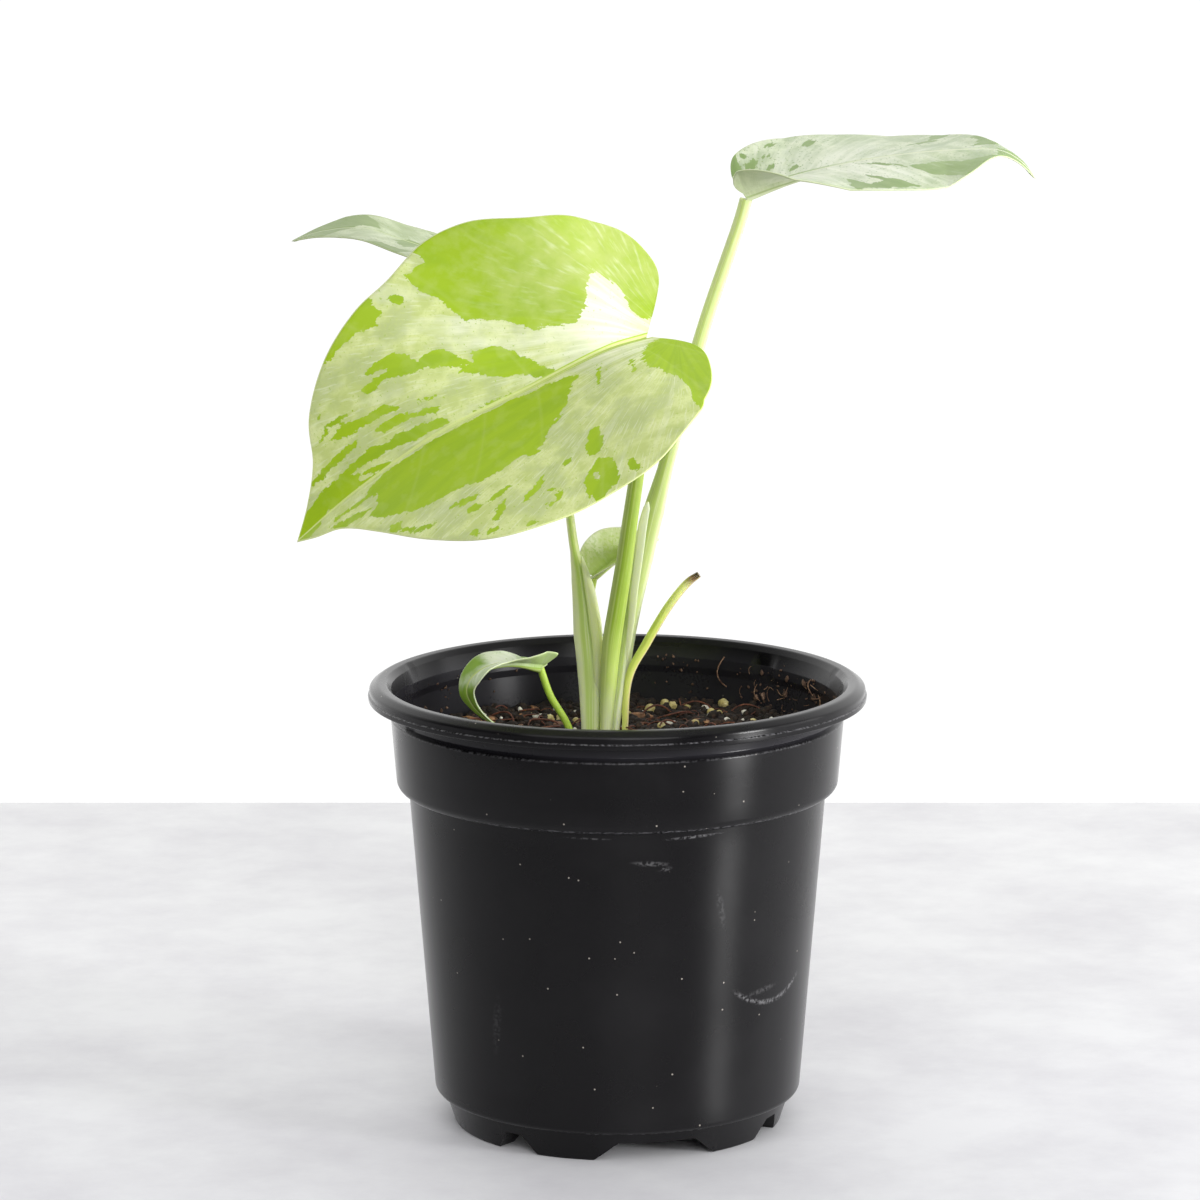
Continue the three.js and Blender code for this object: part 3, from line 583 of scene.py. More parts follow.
# Grains: lumps of four shapes, strewn evenly or in clumps
LUMP_SHAPES = 4
CLUMP_BREADTH = 4.5
grain_tree = bpy.data.node_groups.new("strewn_grains", "GeometryNodeTree")
grain_inlets = inlets(
    grain_tree, Amount="Float", Length="Float", Breadth="Float", Thickness="Float", Spread="Float",
    Jagged="Float", Tilt="Float", Lift="Float", Clumping="Float", Facets="Int", Seed="Int", Skin="Material",
)
given = add(grain_tree, "NodeGroupInput").outputs
place = add(grain_tree, "GeometryNodeInputPosition")
crowd = add(grain_tree, "ShaderNodeTexNoise", None,
            {"Vector": place, "Scale": 1 / (CLUMP_BREADTH * MM), "Detail": 3.0})
thinned = add(grain_tree, "ShaderNodeMath", {"operation": "SUBTRACT"}, {0: 1.0, 1: given["Clumping"]})
crowded = add(grain_tree, "ShaderNodeMapRange", SOFT_STEP,
              {"Value": crowd, "From Min": 0.46, "From Max": 0.62, "To Min": thinned, "To Max": 1.0})
density = add(grain_tree, "ShaderNodeMath", TIMES, {0: given["Amount"], 1: crowded})
lumps = add(grain_tree, "GeometryNodeJoinGeometry")
for shape in range(LUMP_SHAPES):
    ball = add(grain_tree, "GeometryNodeMeshIcoSphere", None,
               {"Radius": 1.0, "Subdivisions": given["Facets"]})
    rugged = add(grain_tree, "ShaderNodeTexNoise", {"noise_dimensions": "4D"},
                 {"Vector": place, "W": 3.7 * shape, "Scale": 1.1, "Detail": 2.0})
    swing = add(grain_tree, "ShaderNodeVectorMath", {"operation": "SUBTRACT"},
                {0: rugged.outputs["Color"], 1: (0.5, 0.5, 0.5)})
    dent = add(grain_tree, "ShaderNodeVectorMath", SCALE, {0: swing, "Scale": given["Jagged"]})
    lump = add(grain_tree, "GeometryNodeSetPosition", None, {"Geometry": ball, "Offset": dent})
    alone = add(grain_tree, "GeometryNodeGeometryToInstance", None, {0: lump})
    grain_tree.links.new(alone.outputs[0], lumps.inputs[0])
sides = add(grain_tree, "ShaderNodeCombineXYZ", None,
            {0: given["Length"], 1: given["Breadth"], 2: given["Thickness"]})
scatter(grain_tree, given, density, lumps, sides)

# Fibres: thin rods, bent in four ways, each as far sideways and upwards as a share of its length
FIBRE_BENDS = ((0.5, 0.1), (-0.35, 0.3), (0.15, 0.5), (-0.8, 0.2))
fibre_tree = bpy.data.node_groups.new("strewn_fibres", "GeometryNodeTree")
fibre_inlets = inlets(
    fibre_tree, Amount="Float", Length="Float", Thickness="Float", Spread="Float", Tilt="Float",
    Lift="Float", Seed="Int", Skin="Material",
)
given = add(fibre_tree, "NodeGroupInput").outputs
bends = add(fibre_tree, "GeometryNodeJoinGeometry")
section = add(fibre_tree, "GeometryNodeCurvePrimitiveCircle", None,
              {"Resolution": 4, "Radius": given["Thickness"]})
for sideways, upward in FIBRE_BENDS:
    bend = add(fibre_tree, "GeometryNodeCurveQuadraticBezier", None,
               {"Resolution": 7, "Start": (-0.5, 0, 0), "Middle": (0.1, sideways, upward),
                "End": (0.5, 0, 0)})
    rod = add(fibre_tree, "GeometryNodeCurveToMesh", None,
              {"Curve": bend, "Profile Curve": section, "Fill Caps": True})
    alone = add(fibre_tree, "GeometryNodeGeometryToInstance", None, {0: rod})
    fibre_tree.links.new(alone.outputs[0], bends.inputs[0])
scatter(fibre_tree, given, given["Amount"], bends, given["Length"])

lump_kind = (grain_tree, grain_inlets)
fibre_kind = (fibre_tree, fibre_inlets)


def strewn(name, ground, kind, **values):
    """Strews one kind of loose piece over a ground, as a plain mesh of its own."""
    tree, identifiers = kind
    made = bpy.data.objects.new(name, ground.data.copy())
    bpy.context.scene.collection.objects.link(made)
    step = made.modifiers.new("strew", "NODES")
    step.node_group = tree
    for title, value in values.items():
        step[identifiers[title]] = value
    settle(made)
    made.data.shade_smooth()
    join(made, "soil", "soil")


def mineral(name, stops, grain, roughness, bump_height=0.1):
    """A mottled skin for loose grains, its colours spread over noise of a grain size in millimetres."""
    made, tree, shader = finish_of(name)
    spot = add(tree, "ShaderNodeTexCoord").outputs["Object"]
    mottle = add(tree, "ShaderNodeTexNoise", None, {"Vector": spot, "Scale": 1 / (grain * MM), "Detail": 6.0})
    colour = add(tree, "ShaderNodeValToRGB", None, {"Fac": mottle}, stops)
    tree.links.new(colour.outputs[0], shader.inputs["Base Color"])
    bump = add(tree, "ShaderNodeBump", None,
               {"Height": mottle, "Strength": 0.6, "Distance": bump_height * MM})
    tree.links.new(bump.outputs[0], shader.inputs["Normal"])
    shader.inputs["Roughness"].default_value = roughness
    return made


# The grounds that loose pieces are strewn on: the soil's top, its middle away from the wall, and
# stretches of the inner wall that were splashed with soil when the plant was potted
SOIL_EDGE = 85.5
CLEAR_OF_WALL = 43.5
WALL_HEIGHTS = [80, BAND_TOP, BAND_TOP + 1.2, POT_HEIGHT]
WALL_RADII = [48.0, 48.85, 48.35, 48.6]
is_top = soil_points[:, 2] > SOIL_LEVEL - 2
top_faces = [face for face in soil_faces if all(is_top[corner] for corner in face)]
off_axis = np.hypot(soil_points[:, 0], soil_points[:, 1])
inner_faces = [face for face in top_faces if max(off_axis[corner] for corner in face) < CLEAR_OF_WALL]
ground = patch_of("ground", soil_points, top_faces)
middle_ground = patch_of("middle_ground", soil_points, inner_faces)


def wall_skin(name, first, last, high, rows=8):
    """A strip of the inner wall from the soil's edge up to a height, from its first to its last degree
    round the axis, counted from the right to the back."""
    points, faces = [], []
    for column in range(last - first + 1):
        azimuth = math.radians(first + column)
        for row in range(rows):
            up = SOIL_EDGE + (high - SOIL_EDGE) * row / (rows - 1)
            reach = np.interp(up, WALL_HEIGHTS, WALL_RADII)
            points.append((reach * math.cos(azimuth), reach * math.sin(azimuth), up))
        if column:
            at_corner = rows * (column - 1)
            faces += [(at_corner + k, at_corner + k + rows, at_corner + k + rows + 1, at_corner + k + 1)
                      for k in range(rows - 1)]
    return patch_of(name, points, faces)


splashed = wall_skin("splashed_wall", 4, 82, 96.5)
splashed_thick = wall_skin("thickly_splashed_wall", 22, 62, 94)
splashed_left = wall_skin("splashed_left_wall", 108, 178, 95)

# The skins of the loose pieces: dull dark peat, paler where it has dried on the wall, tan bark, chalky
# white perlite, smooth yellowish fertiliser coats and red-brown root fibres
crumb_skin = mineral(
    "peat_crumbs", [(0.35, "#120c09"), (0.72, "#4c3628"), (0.55, "#261a13")], 1.2, 0.85, 0.3)
wall_crumb_skin = mineral(
    "dry_soil_crumbs", [(0.3, "#2c2019"), (0.75, "#a98b76"), (0.55, "#5c4537")], 0.9, 0.85, 0.2)
bark_skin = mineral(
    "bark", [(0.3, "#47301f"), (0.75, "#d0ad80"), (0.5, "#7d573a"), (0.62, "#a97a52")], 1.9, 0.7)
perlite_skin = mineral("perlite", [(0.3, "#b9b3a6"), (0.7, "#f2efe6")], 0.8, 0.8)
grain_skin = mineral(
    "coated_fertiliser", [(0.3, "#a8965a"), (0.75, "#e0d8a6"), (0.5, "#c9b878")], 1.4, 0.35, 0.03)
fibre_skin = mineral(
    "root_fibres", [(0.3, "#3f2218"), (0.72, "#8a5236"), (0.5, "#5f3424")], 1.6, 0.7, 0.05)
rootlet_skin = mineral(
    "dry_rootlets", [(0.3, "#5a4032"), (0.72, "#b3937a"), (0.5, "#83634d")], 1.2, 0.75, 0.05)

# Amounts are pieces on a square metre; lengths, breadths and thicknesses are half sizes. A fibre is as
# long as its length and as thick as a share of it. Pieces stuck to the wall lie any way round.
stuck = {"Tilt": 3.1, "Lift": 0.0}
strewn("soil_crumbs", ground, lump_kind, Amount=240000.0, Length=0.95 * MM, Breadth=0.8 * MM,
       Thickness=0.65 * MM, Spread=0.6, Jagged=1.3, Tilt=1.2, Lift=0.1 * MM, Facets=2, Seed=3,
       Skin=crumb_skin)
strewn("bark_chips", middle_ground, lump_kind, Amount=6500.0, Length=1.9 * MM, Breadth=1.1 * MM,
       Thickness=0.5 * MM, Spread=0.5, Jagged=1.1, Tilt=0.5, Lift=0.2 * MM, Facets=2, Seed=11, Skin=bark_skin)
strewn("perlite_grains", middle_ground, lump_kind, Amount=11000.0, Length=0.6 * MM, Breadth=0.5 * MM,
       Thickness=0.45 * MM, Spread=0.6, Jagged=1.0, Tilt=1.0, Lift=0.3 * MM, Facets=2, Seed=23,
       Skin=perlite_skin)
strewn("fertiliser_grains", middle_ground, lump_kind, Amount=2900.0, Length=1.1 * MM, Breadth=1.05 * MM,
       Thickness=1.0 * MM, Spread=0.3, Jagged=0.2, Tilt=1.0, Lift=0.5 * MM, Facets=3, Seed=31,
       Skin=grain_skin)
strewn("soil_fibres", middle_ground, fibre_kind, Amount=30000.0, Length=5.5 * MM, Thickness=0.026,
       Spread=0.6, Tilt=0.35, Lift=0.25 * MM, Seed=41, Skin=fibre_skin)
strewn("wall_crumbs", splashed, lump_kind, Amount=330000.0, Length=0.27 * MM, Breadth=0.2 * MM,
       Thickness=0.16 * MM, Spread=0.75, Jagged=1.6, Clumping=1.0, Facets=2, Seed=53, Skin=wall_crumb_skin,
       **stuck)
strewn("wall_clods", splashed_thick, lump_kind, Amount=90000.0, Length=0.62 * MM, Breadth=0.4 * MM,
       Thickness=0.3 * MM, Spread=0.7, Jagged=1.7, Clumping=0.97, Facets=2, Seed=57, Skin=wall_crumb_skin,
       **stuck)
strewn("left_wall_crumbs", splashed_left, lump_kind, Amount=110000.0, Length=0.26 * MM, Breadth=0.2 * MM,
       Thickness=0.16 * MM, Spread=0.75, Jagged=1.6, Clumping=1.0, Facets=2, Seed=59, Skin=wall_crumb_skin,
       **stuck)
strewn("wall_rootlets", splashed_thick, fibre_kind, Amount=70000.0, Length=4.6 * MM, Thickness=0.026,
       Spread=0.6, Seed=61, Skin=rootlet_skin, **stuck)
for loose in (ground, middle_ground, splashed, splashed_thick, splashed_left):
    bpy.data.objects.remove(loose)

# Pieces that catch the eye between the stalks and the back of the rim, each half sunk in the soil
LARGE_GRAINS = [
    # across, back, half length, half breadth, half thickness, turn, skin
    (4.6, 27.0, 2.7, 1.5, 0.9, 20, bark_skin), (7.0, 25.6, 1.6, 1.1, 0.8, 100, bark_skin),
    (18.4, 20.4, 2.6, 1.5, 0.9, -10, bark_skin), (16.6, 18.6, 1.5, 1.2, 0.8, 60, bark_skin),
    (11.9, 22.5, 1.0, 0.8, 0.7, 0, perlite_skin), (21.4, 26.5, 1.3, 1.1, 0.9, 30, perlite_skin),
    (12.4, 35.3, 1.15, 1.1, 1.0, 0, grain_skin), (15.4, 36.0, 1.25, 1.1, 1.0, 40, grain_skin),
    (14.9, 43.0, 1.0, 1.0, 0.9, 0, grain_skin), (24.3, 40.2, 1.2, 1.1, 1.0, 0, grain_skin),
    (-17.4, 26.0, 1.7, 1.0, 0.9, 15, perlite_skin), (-15.3, 24.4, 1.1, 1.0, 1.0, 0, grain_skin),
    (-12.6, 26.2, 1.2, 1.1, 1.0, 0, grain_skin), (20.0, 34.8, 1.3, 1.2, 1.0, 0, perlite_skin),
]
LUMP_ROWS, LUMP_SIDES = 10, 16
LUMP_RAGGEDNESS = 0.5
RAISED = 0.45
half_circle = [(math.sin(math.pi * row / LUMP_ROWS), -math.cos(math.pi * row / LUMP_ROWS))
               for row in range(LUMP_ROWS + 1)]
ball, ball_faces = turned(np.array(half_circle), LUMP_SIDES)
parts_of = {}
for k, (across, back, long, broad, thick, turn, skin_of) in enumerate(LARGE_GRAINS):
    lump = ball.copy()
    own_noise = Vector((7.1 * k, 0, 0))
    for corner in lump:
        corner *= 1 + LUMP_RAGGEDNESS * noise.noise(Vector(corner * 1.3) + own_noise)
    lump = lump * (long, broad, thick)
    cos, sin = math.cos(math.radians(turn)), math.sin(math.radians(turn))
    lump = lump @ np.array([(cos, sin, 0), (-sin, cos, 0), (0, 0, 1)])
    lump = lump + (across, back, soil_height(across, back) + RAISED * thick)
    parts_of.setdefault(skin_of.name, (skin_of, []))[1].append((lump, ball_faces))
for title, (skin_of, lumps_of) in parts_of.items():
    large = gathered("large_" + title, lumps_of)
    large.data.materials.append(skin_of)
    join(large, "soil", "soil")


# Stem and roots. The short pale stem that all stalks grow from, and its fleshy roots, buried in the
# soil. They keep the solid of the frame and get the skin of a living root.
root_skin, tree, shader = finish_of("fleshy_root_skin")
spot = add(tree, "ShaderNodeTexCoord").outputs["Object"]
grain = add(tree, "ShaderNodeTexNoise", None, {"Vector": spot, "Scale": 1 / (2.5 * MM), "Detail": 5.0})
tan = add(tree, "ShaderNodeValToRGB", None, {"Fac": grain}, [(0.35, "#8a744c"), (0.7, "#c8b98c")])
tree.links.new(tan.outputs[0], shader.inputs["Base Color"])
shader.inputs["Roughness"].default_value = 0.65
bump = add(tree, "ShaderNodeBump", None, {"Height": grain, "Strength": 0.3, "Distance": 0.3 * MM})
tree.links.new(bump.outputs[0], shader.inputs["Normal"])
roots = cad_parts["stem_and_roots"]
roots.data.materials.clear()
roots.data.materials.append(root_skin)


# Leaf stalks. Firm green stalks that rise from the buried stem: each is a slightly flattened rod with
# lengthwise fibres, pale where it comes out of the soil, and it carries its blade at a soft joint.


def smooth_run(points, evenness, samples=40):
    """Points of a smooth curve through points, with a number of samples on each stretch."""
    p = np.array(points, float)
    lead, tail = (p[0], p[-1]) if evenness == 0 else (2 * p[0] - p[1], 2 * p[-1] - p[-2])
    p = np.vstack([lead, p, tail])
    share = np.linspace(0, 1, samples + 1)[:-1, None]
    stretches = []
    for a, b, c, d in zip(p, p[1:], p[2:], p[3:]):
        before, here, after = (
            max(np.linalg.norm(q - r), 1e-6) ** evenness for q, r in ((b, a), (c, b), (d, c))
        )
        leave = ((b - a) / before - (c - a) / (before + here) + (c - b) / here) * here
        reach = ((c - b) / here - (d - b) / (here + after) + (d - c) / after) * here
        stretches.append(
            b + leave * share + (3 * (c - b) - 2 * leave - reach) * share**2
            + (2 * (b - c) + leave + reach) * share**3
        )
    return np.vstack([*stretches, p[-2]])


def spread(values, share):
    """Reads a list of values spread evenly over 0 to 1."""
    return np.interp(np.clip(share, 0, 1) * (len(values) - 1), np.arange(len(values)), values)


def run_length(points):
    """The length run along a line of points, at each of them."""
    return np.r_[0, np.cumsum(np.linalg.norm(np.diff(points, axis=0), axis=1))]


def stalk_rings(stalk, sides, samples=12):
    """Rings of points round a stalk's path, with the run along it and the angle round it."""
    middle = smooth_run(stalk["points"], 0.5, samples)
    share = np.linspace(0, 1, len(middle))
    along = unit(np.gradient(middle, axis=0))
    width = spread(stalk["width"], share)
    depth = spread(stalk.get("depth", stalk["width"]), share)
    side = np.array(stalk.get("first", (1, 0, 0)), float)
    angles = 2 * math.pi * np.arange(sides) / sides
    rings = []
    for at, forward, half_width, half_depth in zip(middle, along, width, depth):
        side = unit(side - (side @ forward) * forward)
        back = np.cross(forward, side)
        rings.append(
            at + np.outer(half_width * np.cos(angles), side) + np.outer(half_depth * np.sin(angles), back)
        )
    return np.array(rings), run_length(middle), angles


def closed_rings(rings):
    """Points and faces of rings joined into a closed body, with a flat cap at each end."""
    count, sides = rings.shape[:2]
    points = np.vstack([rings.reshape(-1, 3), rings[0].mean(axis=0), rings[-1].mean(axis=0)])
    number = np.arange(count * sides).reshape(count, sides)
    return points, closed_faces(number, count * sides, count * sides + 1)


def stalk_skin(name, colours, fibres, stripes=()):
    """Smooth stalk skin: colours change along the stalk, fine fibres run its length, and broad stripes
    lie at an angle round it, each as (angle, breadth, colour, strength)."""
    made, tree, shader = finish_of(name)
    place = add(tree, "ShaderNodeAttribute", {"attribute_name": "stalk"}).outputs["Vector"]
    parts = add(tree, "ShaderNodeSeparateXYZ", None, {0: place})
    run = add(tree, "ShaderNodeMapRange", None, {"Value": parts.outputs[2], "From Max": colours[-1][0]})
    stops = [(up / colours[-1][0], colour) for up, colour in colours]
    base = add(tree, "ShaderNodeValToRGB", None, {"Fac": run}, [stops[0], stops[-1], *stops[1:-1]])
    for angle, breadth, colour, strength in stripes:
        direction = (math.cos(math.radians(angle)), math.sin(math.radians(angle)), 0)
        facing = add(tree, "ShaderNodeVectorMath", {"operation": "DOT_PRODUCT"}, {0: place, 1: direction})
        on = add(tree, "ShaderNodeMapRange", SOFT_STEP,
                 {"Value": facing.outputs["Value"], "From Min": math.cos(math.radians(breadth)),
                  "From Max": math.cos(math.radians(0.4 * breadth)), "To Max": strength})
        base = add(tree, "ShaderNodeMixRGB", None, {"Fac": on, "Color1": base, "Color2": colour})
    stretched = add(tree, "ShaderNodeMapping", None, {"Vector": place, "Scale": (6.5, 6.5, 0.03)})
    fibre = add(tree, "ShaderNodeTexNoise", None, {"Vector": stretched, "Scale": 1.5, "Detail": 6.0})
    fibre_share = add(tree, "ShaderNodeMapRange", SOFT_STEP,
                      {"Value": fibre, "From Min": 0.48, "From Max": 0.7, "To Max": 0.45})
    streaked = add(tree, "ShaderNodeMixRGB", None, {"Fac": fibre_share, "Color1": base, "Color2": fibres})
    tree.links.new(streaked.outputs[0], shader.inputs["Base Color"])
    bump = add(tree, "ShaderNodeBump", None, {"Height": fibre, "Strength": 0.3, "Distance": 0.1 * MM})
    tree.links.new(bump.outputs[0], shader.inputs["Normal"])
    shader.inputs["Roughness"].default_value = 0.42
    shader.inputs["Specular IOR Level"].default_value = 0.35
    shader.inputs["Subsurface Weight"].default_value = 0.6
    shader.inputs["Subsurface Radius"].default_value = (1.0, 1.0, 0.45)
    shader.inputs["Subsurface Scale"].default_value = 2.2 * MM
    return made


def grow_stalk(name, stalk, skin, node, sides=36, slot="leaf"):
    """A stalk along its path. Each point notes its place round and along it for the skin."""
    rings, run, angles = stalk_rings(stalk, sides)
    made = shaped(name, *closed_rings(rings), 60)
    marks = np.empty((len(run), sides, 3))
    marks[..., 0] = np.cos(angles)
    marks[..., 1] = np.sin(angles)
    marks[..., 2] = run[:, None]
    ends = [[0, 0, run[0]], [0, 0, run[-1]]]
    note(made.data, "stalk", np.vstack([marks.reshape(-1, 3), ends]))
    made.data.materials.append(skin)
    join(made, slot, node)


STALK_FOOT = 73.3
COLLAR = 88.8

front_stalk = {
    "points": [
        (-2.6, -0.9, STALK_FOOT), (-2.5, -0.9, COLLAR), (-1.9, -1, 99.6), (-1.2, -1.2, 108.3),
        (0.0, -1.4, 116.2), (1.4, -1.7, 125.2), (2.9, -2.2, 136.4), (6, -4.5, 158),
        (7.8, -7.5, 170.5), (6.9, -12.2, 176.2),
    ],
    "width": [1.2, 1.4, 1.8, 2.1, 2, 1.9, 1.7, 1.5, 1.5, 1.4],
    "depth": [1.6, 1.8, 1.8, 1.8, 1.8, 1.8, 1.7, 1.5, 1.5, 1.4],
}
right_stalk = {
    "points": [
        (-0.4, 0.9, STALK_FOOT), (-0.4, 0.9, COLLAR), (1.1, 1.2, 100.2), (2.3, 1.6, 109),
        (3.9, 1.9, 117), (5.6, 2.4, 126), (8, 3, 136.8), (10.4, 3.2, 145.8),
        (18.7, 4, 176.6), (26.8, 4, 201), (28, 4, 205.4),
    ],
    "width": [0.9, 1, 1.5, 1.7, 1.7, 2.2, 2.3, 1.7, 1.5, 1.4, 1.4],
    "depth": [1.6, 1.8, 1.8, 1.6, 1.5, 1.5, 1.5, 1.6, 1.5, 1.4, 1.4],
}
back_stalk = {
    "points": [
        (-5.9, 0.9, STALK_FOOT), (-5.9, 0.9, COLLAR), (-6.1, 2.2, 100.4), (-6.8, 4, 109.4),
        (-8, 6.4, 120.6), (-9.4, 8.6, 126.6), (-10.5, 11.2, 134), (-13.2, 19, 157),
        (-15.6, 26.6, 176), (-16, 28.7, 180.6),
    ],
    "width": [1.6, 2.1, 2.7, 2.95, 2.2, 1.05, 0.95, 1.1, 1.2, 1.1],
    "depth": [1.7, 2, 2, 1.8, 1.5, 1.1, 0.95, 1.1, 1.2, 1.1],
}
young_stalk = {
    "points": [
        (-5, 3.2, STALK_FOOT), (-5.2, 3.6, COLLAR), (-5.8, 4.8, 100), (-6.3, 6.6, 110),
        (-5.8, 8.2, 116.6), (-5.1, 8.5, 120.8),
    ],
    "width": [0.6, 0.6, 0.6, 0.7, 0.7, 0.7],
}
low_stalk = {
    "points": [
        (-8.4, -1.2, STALK_FOOT), (-9.2, -2.2, 82), (-10.9, -3, 89.6), (-14.8, -5, 97),
        (-16.9, -5.9, 103.3),
    ],
    "width": [0.7, 0.8, 0.8, 0.8, 0.8],
}

# The sheaths: dry pale strips that once wrapped the next leaf, still held to the side of their stalk
back_sheath = {
    "points": [
        (-4.4, 0.4, 92), (-4.2, 0.6, 100), (-4.3, 1.3, 106), (-4.9, 2.1, 112), (-6.1, 3.6, 119),
        (-7.2, 4.9, 123.4), (-7.9, 5.8, 126),
    ],
    "width": [0.9, 1.15, 1.4, 1.45, 1.2, 0.7, 0.12],
    "depth": [0.22],
    "first": (1, 0.4, 0),
}
right_sheath = {
    "points": [
        (1.1, -0.2, 97), (1.9, -0.1, 104), (2.9, 0.2, 112), (3.7, 0.4, 120), (4.8, 0.8, 128),
        (5.6, 1.1, 134), (6.4, 1.3, 137.6), (6.7, 1.4, 139),
    ],
    "width": [0.5, 0.7, 0.85, 0.95, 1.0, 1.0, 0.75, 0.2],
    "depth": [0.2],
    "first": (1, -0.15, 0),
}

front_skin = stalk_skin(
    "green_stalk_skin",
    [(0, "#e4e9cc"), (16, "#dbe3b8"), (26, "#b9cb72"), (40, "#98b33c"), (60, "#96b03e"), (110, "#9fb056")],
    "#c6d388",
    [(205, 42, "#bcc97e", 0.7), (243, 9, "#d3dd98", 0.55), (340, 34, "#a9bd5c", 0.5)],
)
right_skin = stalk_skin(
    "pale_stalk_skin",
    [(0, "#eaeed6"), (20, "#dfe7be"), (40, "#b9c87c"), (70, "#bccb80"), (135, "#cbd898")],
    "#dbe3b8",
    [(345, 42, "#d9e1b6", 0.7), (255, 16, "#aabf54", 0.5)],
)
# The back stalk's left stripe is a pale edge, lightened further as painted light that stands in for light
# from the left
back_skin = stalk_skin(
    "striped_stalk_skin",
    [(0, "#e6ebcc"), (16, "#d6dfaa"), (34, "#dae5a2"), (60, "#dee8aa"), (115, "#d5dea6")],
    "#eff3d2",
    [(200, 48, "#ebf0cc", 0.7), (266, 30, "#aeca4e", 0.65), (345, 26, "#a3bd48", 0.45)],
)
young_skin = stalk_skin("young_stalk_skin", [(0, "#dfe6bc"), (20, "#c9d984"), (50, "#bdd268")], "#dde7a8")
low_skin = stalk_skin("low_stalk_skin", [(0, "#c6d68a"), (14, "#a4c244"), (34, "#a9c64c")], "#c8da7c",
                      [(200, 50, "#8cab33", 0.6)])
sheath_skin = stalk_skin("pale_sheath_skin", [(0, "#d3dc9f"), (20, "#d6dfa4"), (46, "#e3e9c6")], "#e9efd2",
                         [(180, 60, "#b7d058", 0.6)])
grow_stalk("front_leaf_stalk", front_stalk, front_skin, "front_leaf")
grow_stalk("right_leaf_stalk", right_stalk, right_skin, "right_leaf")
grow_stalk("back_leaf_stalk", back_stalk, back_skin, "back_leaf")
grow_stalk("young_leaf_stalk", young_stalk, young_skin, "young_leaf", 20)
grow_stalk("low_leaf_stalk", low_stalk, low_skin, "low_leaf", 20)
grow_stalk("back_leaf_sheath", back_sheath, sheath_skin, "back_leaf", 24)
grow_stalk("right_leaf_sheath", right_sheath, sheath_skin, "right_leaf", 24)


# Leaf blades. Heart-shaped living leaves of about half a millimetre, firm and waxy above, duller below.
# A midrib, grooved above and raised below, runs on from the stalk, and side veins curve from it to the
# margin. The tissue is cream where it lacks green, which lies in patches and streaks along the veins.

# Millimetres, apart from how the veins draw apart towards the tip, how far they bow and how much of the
# gap to the next one a vein's line takes
BLADE_THICKNESS = 0.46
VEIN_GROWTH = 2.1
VEIN_BOW = 0.1
GROOVE_DEPTH, GROOVE_BREADTH = 0.28, 0.45
SHOULDER_HEIGHT, SHOULDER_BREADTH = 0.12, 0.4
QUILT_HEIGHT = 0.06
RIB_BREADTH, RIB_DEPTH = 1.25, 1.1
VEIN_LINE_SHARE = 0.03
MARGIN_ROUNDING = 0.5


class Spine:
    """The curved midrib, read by the length along it."""

    def __init__(self, points):
        self.points = smooth_run(points, 0.5, 200)
        self.run = run_length(self.points)
        self.length = self.run[-1]
        self.tangents = unit(np.gradient(self.points, self.run, axis=0))

    def read(self, values, run):
        """Values noted at the points, read at lengths between them."""
        return np.stack([np.interp(run, self.run, column) for column in values.T], axis=-1)

    def at(self, run):
        """Points of the midrib."""
        return self.read(self.points, run)

    def along(self, run):
        """Directions of the midrib towards the tip."""
        return unit(self.read(self.tangents, run))


def carried(leaf, spine, x, y):
    """Points x along and y across a flat blade, carried onto the curved, folded and waved blade."""
    share = np.clip(x / spine.length, 0, 1)
    run = np.clip(x, 0, spine.length)
    along = spine.along(run)
    start, end = (np.array(direction, float) for direction in leaf["facing"])
    up = start + (end - start) * share[..., None]
    across = unit(np.cross(along, up))
    normal = np.cross(across, along)
    fold = np.where(y > 0, spread(leaf["fold_right"], share), spread(leaf["fold_left"], share))
    sideways = np.abs(y)
    lift = sideways * np.sin(np.radians(fold))
    if "wave" in leaf:
        wave = leaf["wave"]
        phase = wave["start"] + np.where(y > 0, 0, wave["lag"])
        ripple = np.sin(2 * math.pi * wave["count"] * x / spine.length + phase)
        lift = lift + wave["height"] * ripple * (sideways / wave["reach"]) ** 2
    out = y * np.cos(np.radians(fold))
    behind = np.minimum(x, 0)
    return spine.at(run) + along * behind[..., None] + across * out[..., None] + normal * lift[..., None]


def facing(leaf, spine, x, y, step=0.2):
    """Which way the upper side of the carried blade faces."""
    forward = carried(leaf, spine, x + step, y) - carried(leaf, spine, x - step, y)
    right = carried(leaf, spine, x, y + step) - carried(leaf, spine, x, y - step)
    return unit(np.cross(right, forward))


def margin(points, length, shares):
    """Points of a blade's margin at shares of its run from the stalk to the tip, and the whole run."""
    line = smooth_run([(0, 0), *points, (length, 0)], 0, 60)
    run = run_length(line)
    read = [np.interp(shares * run[-1], run, column) for column in line.T]
    return np.stack(read, axis=-1), run[-1]


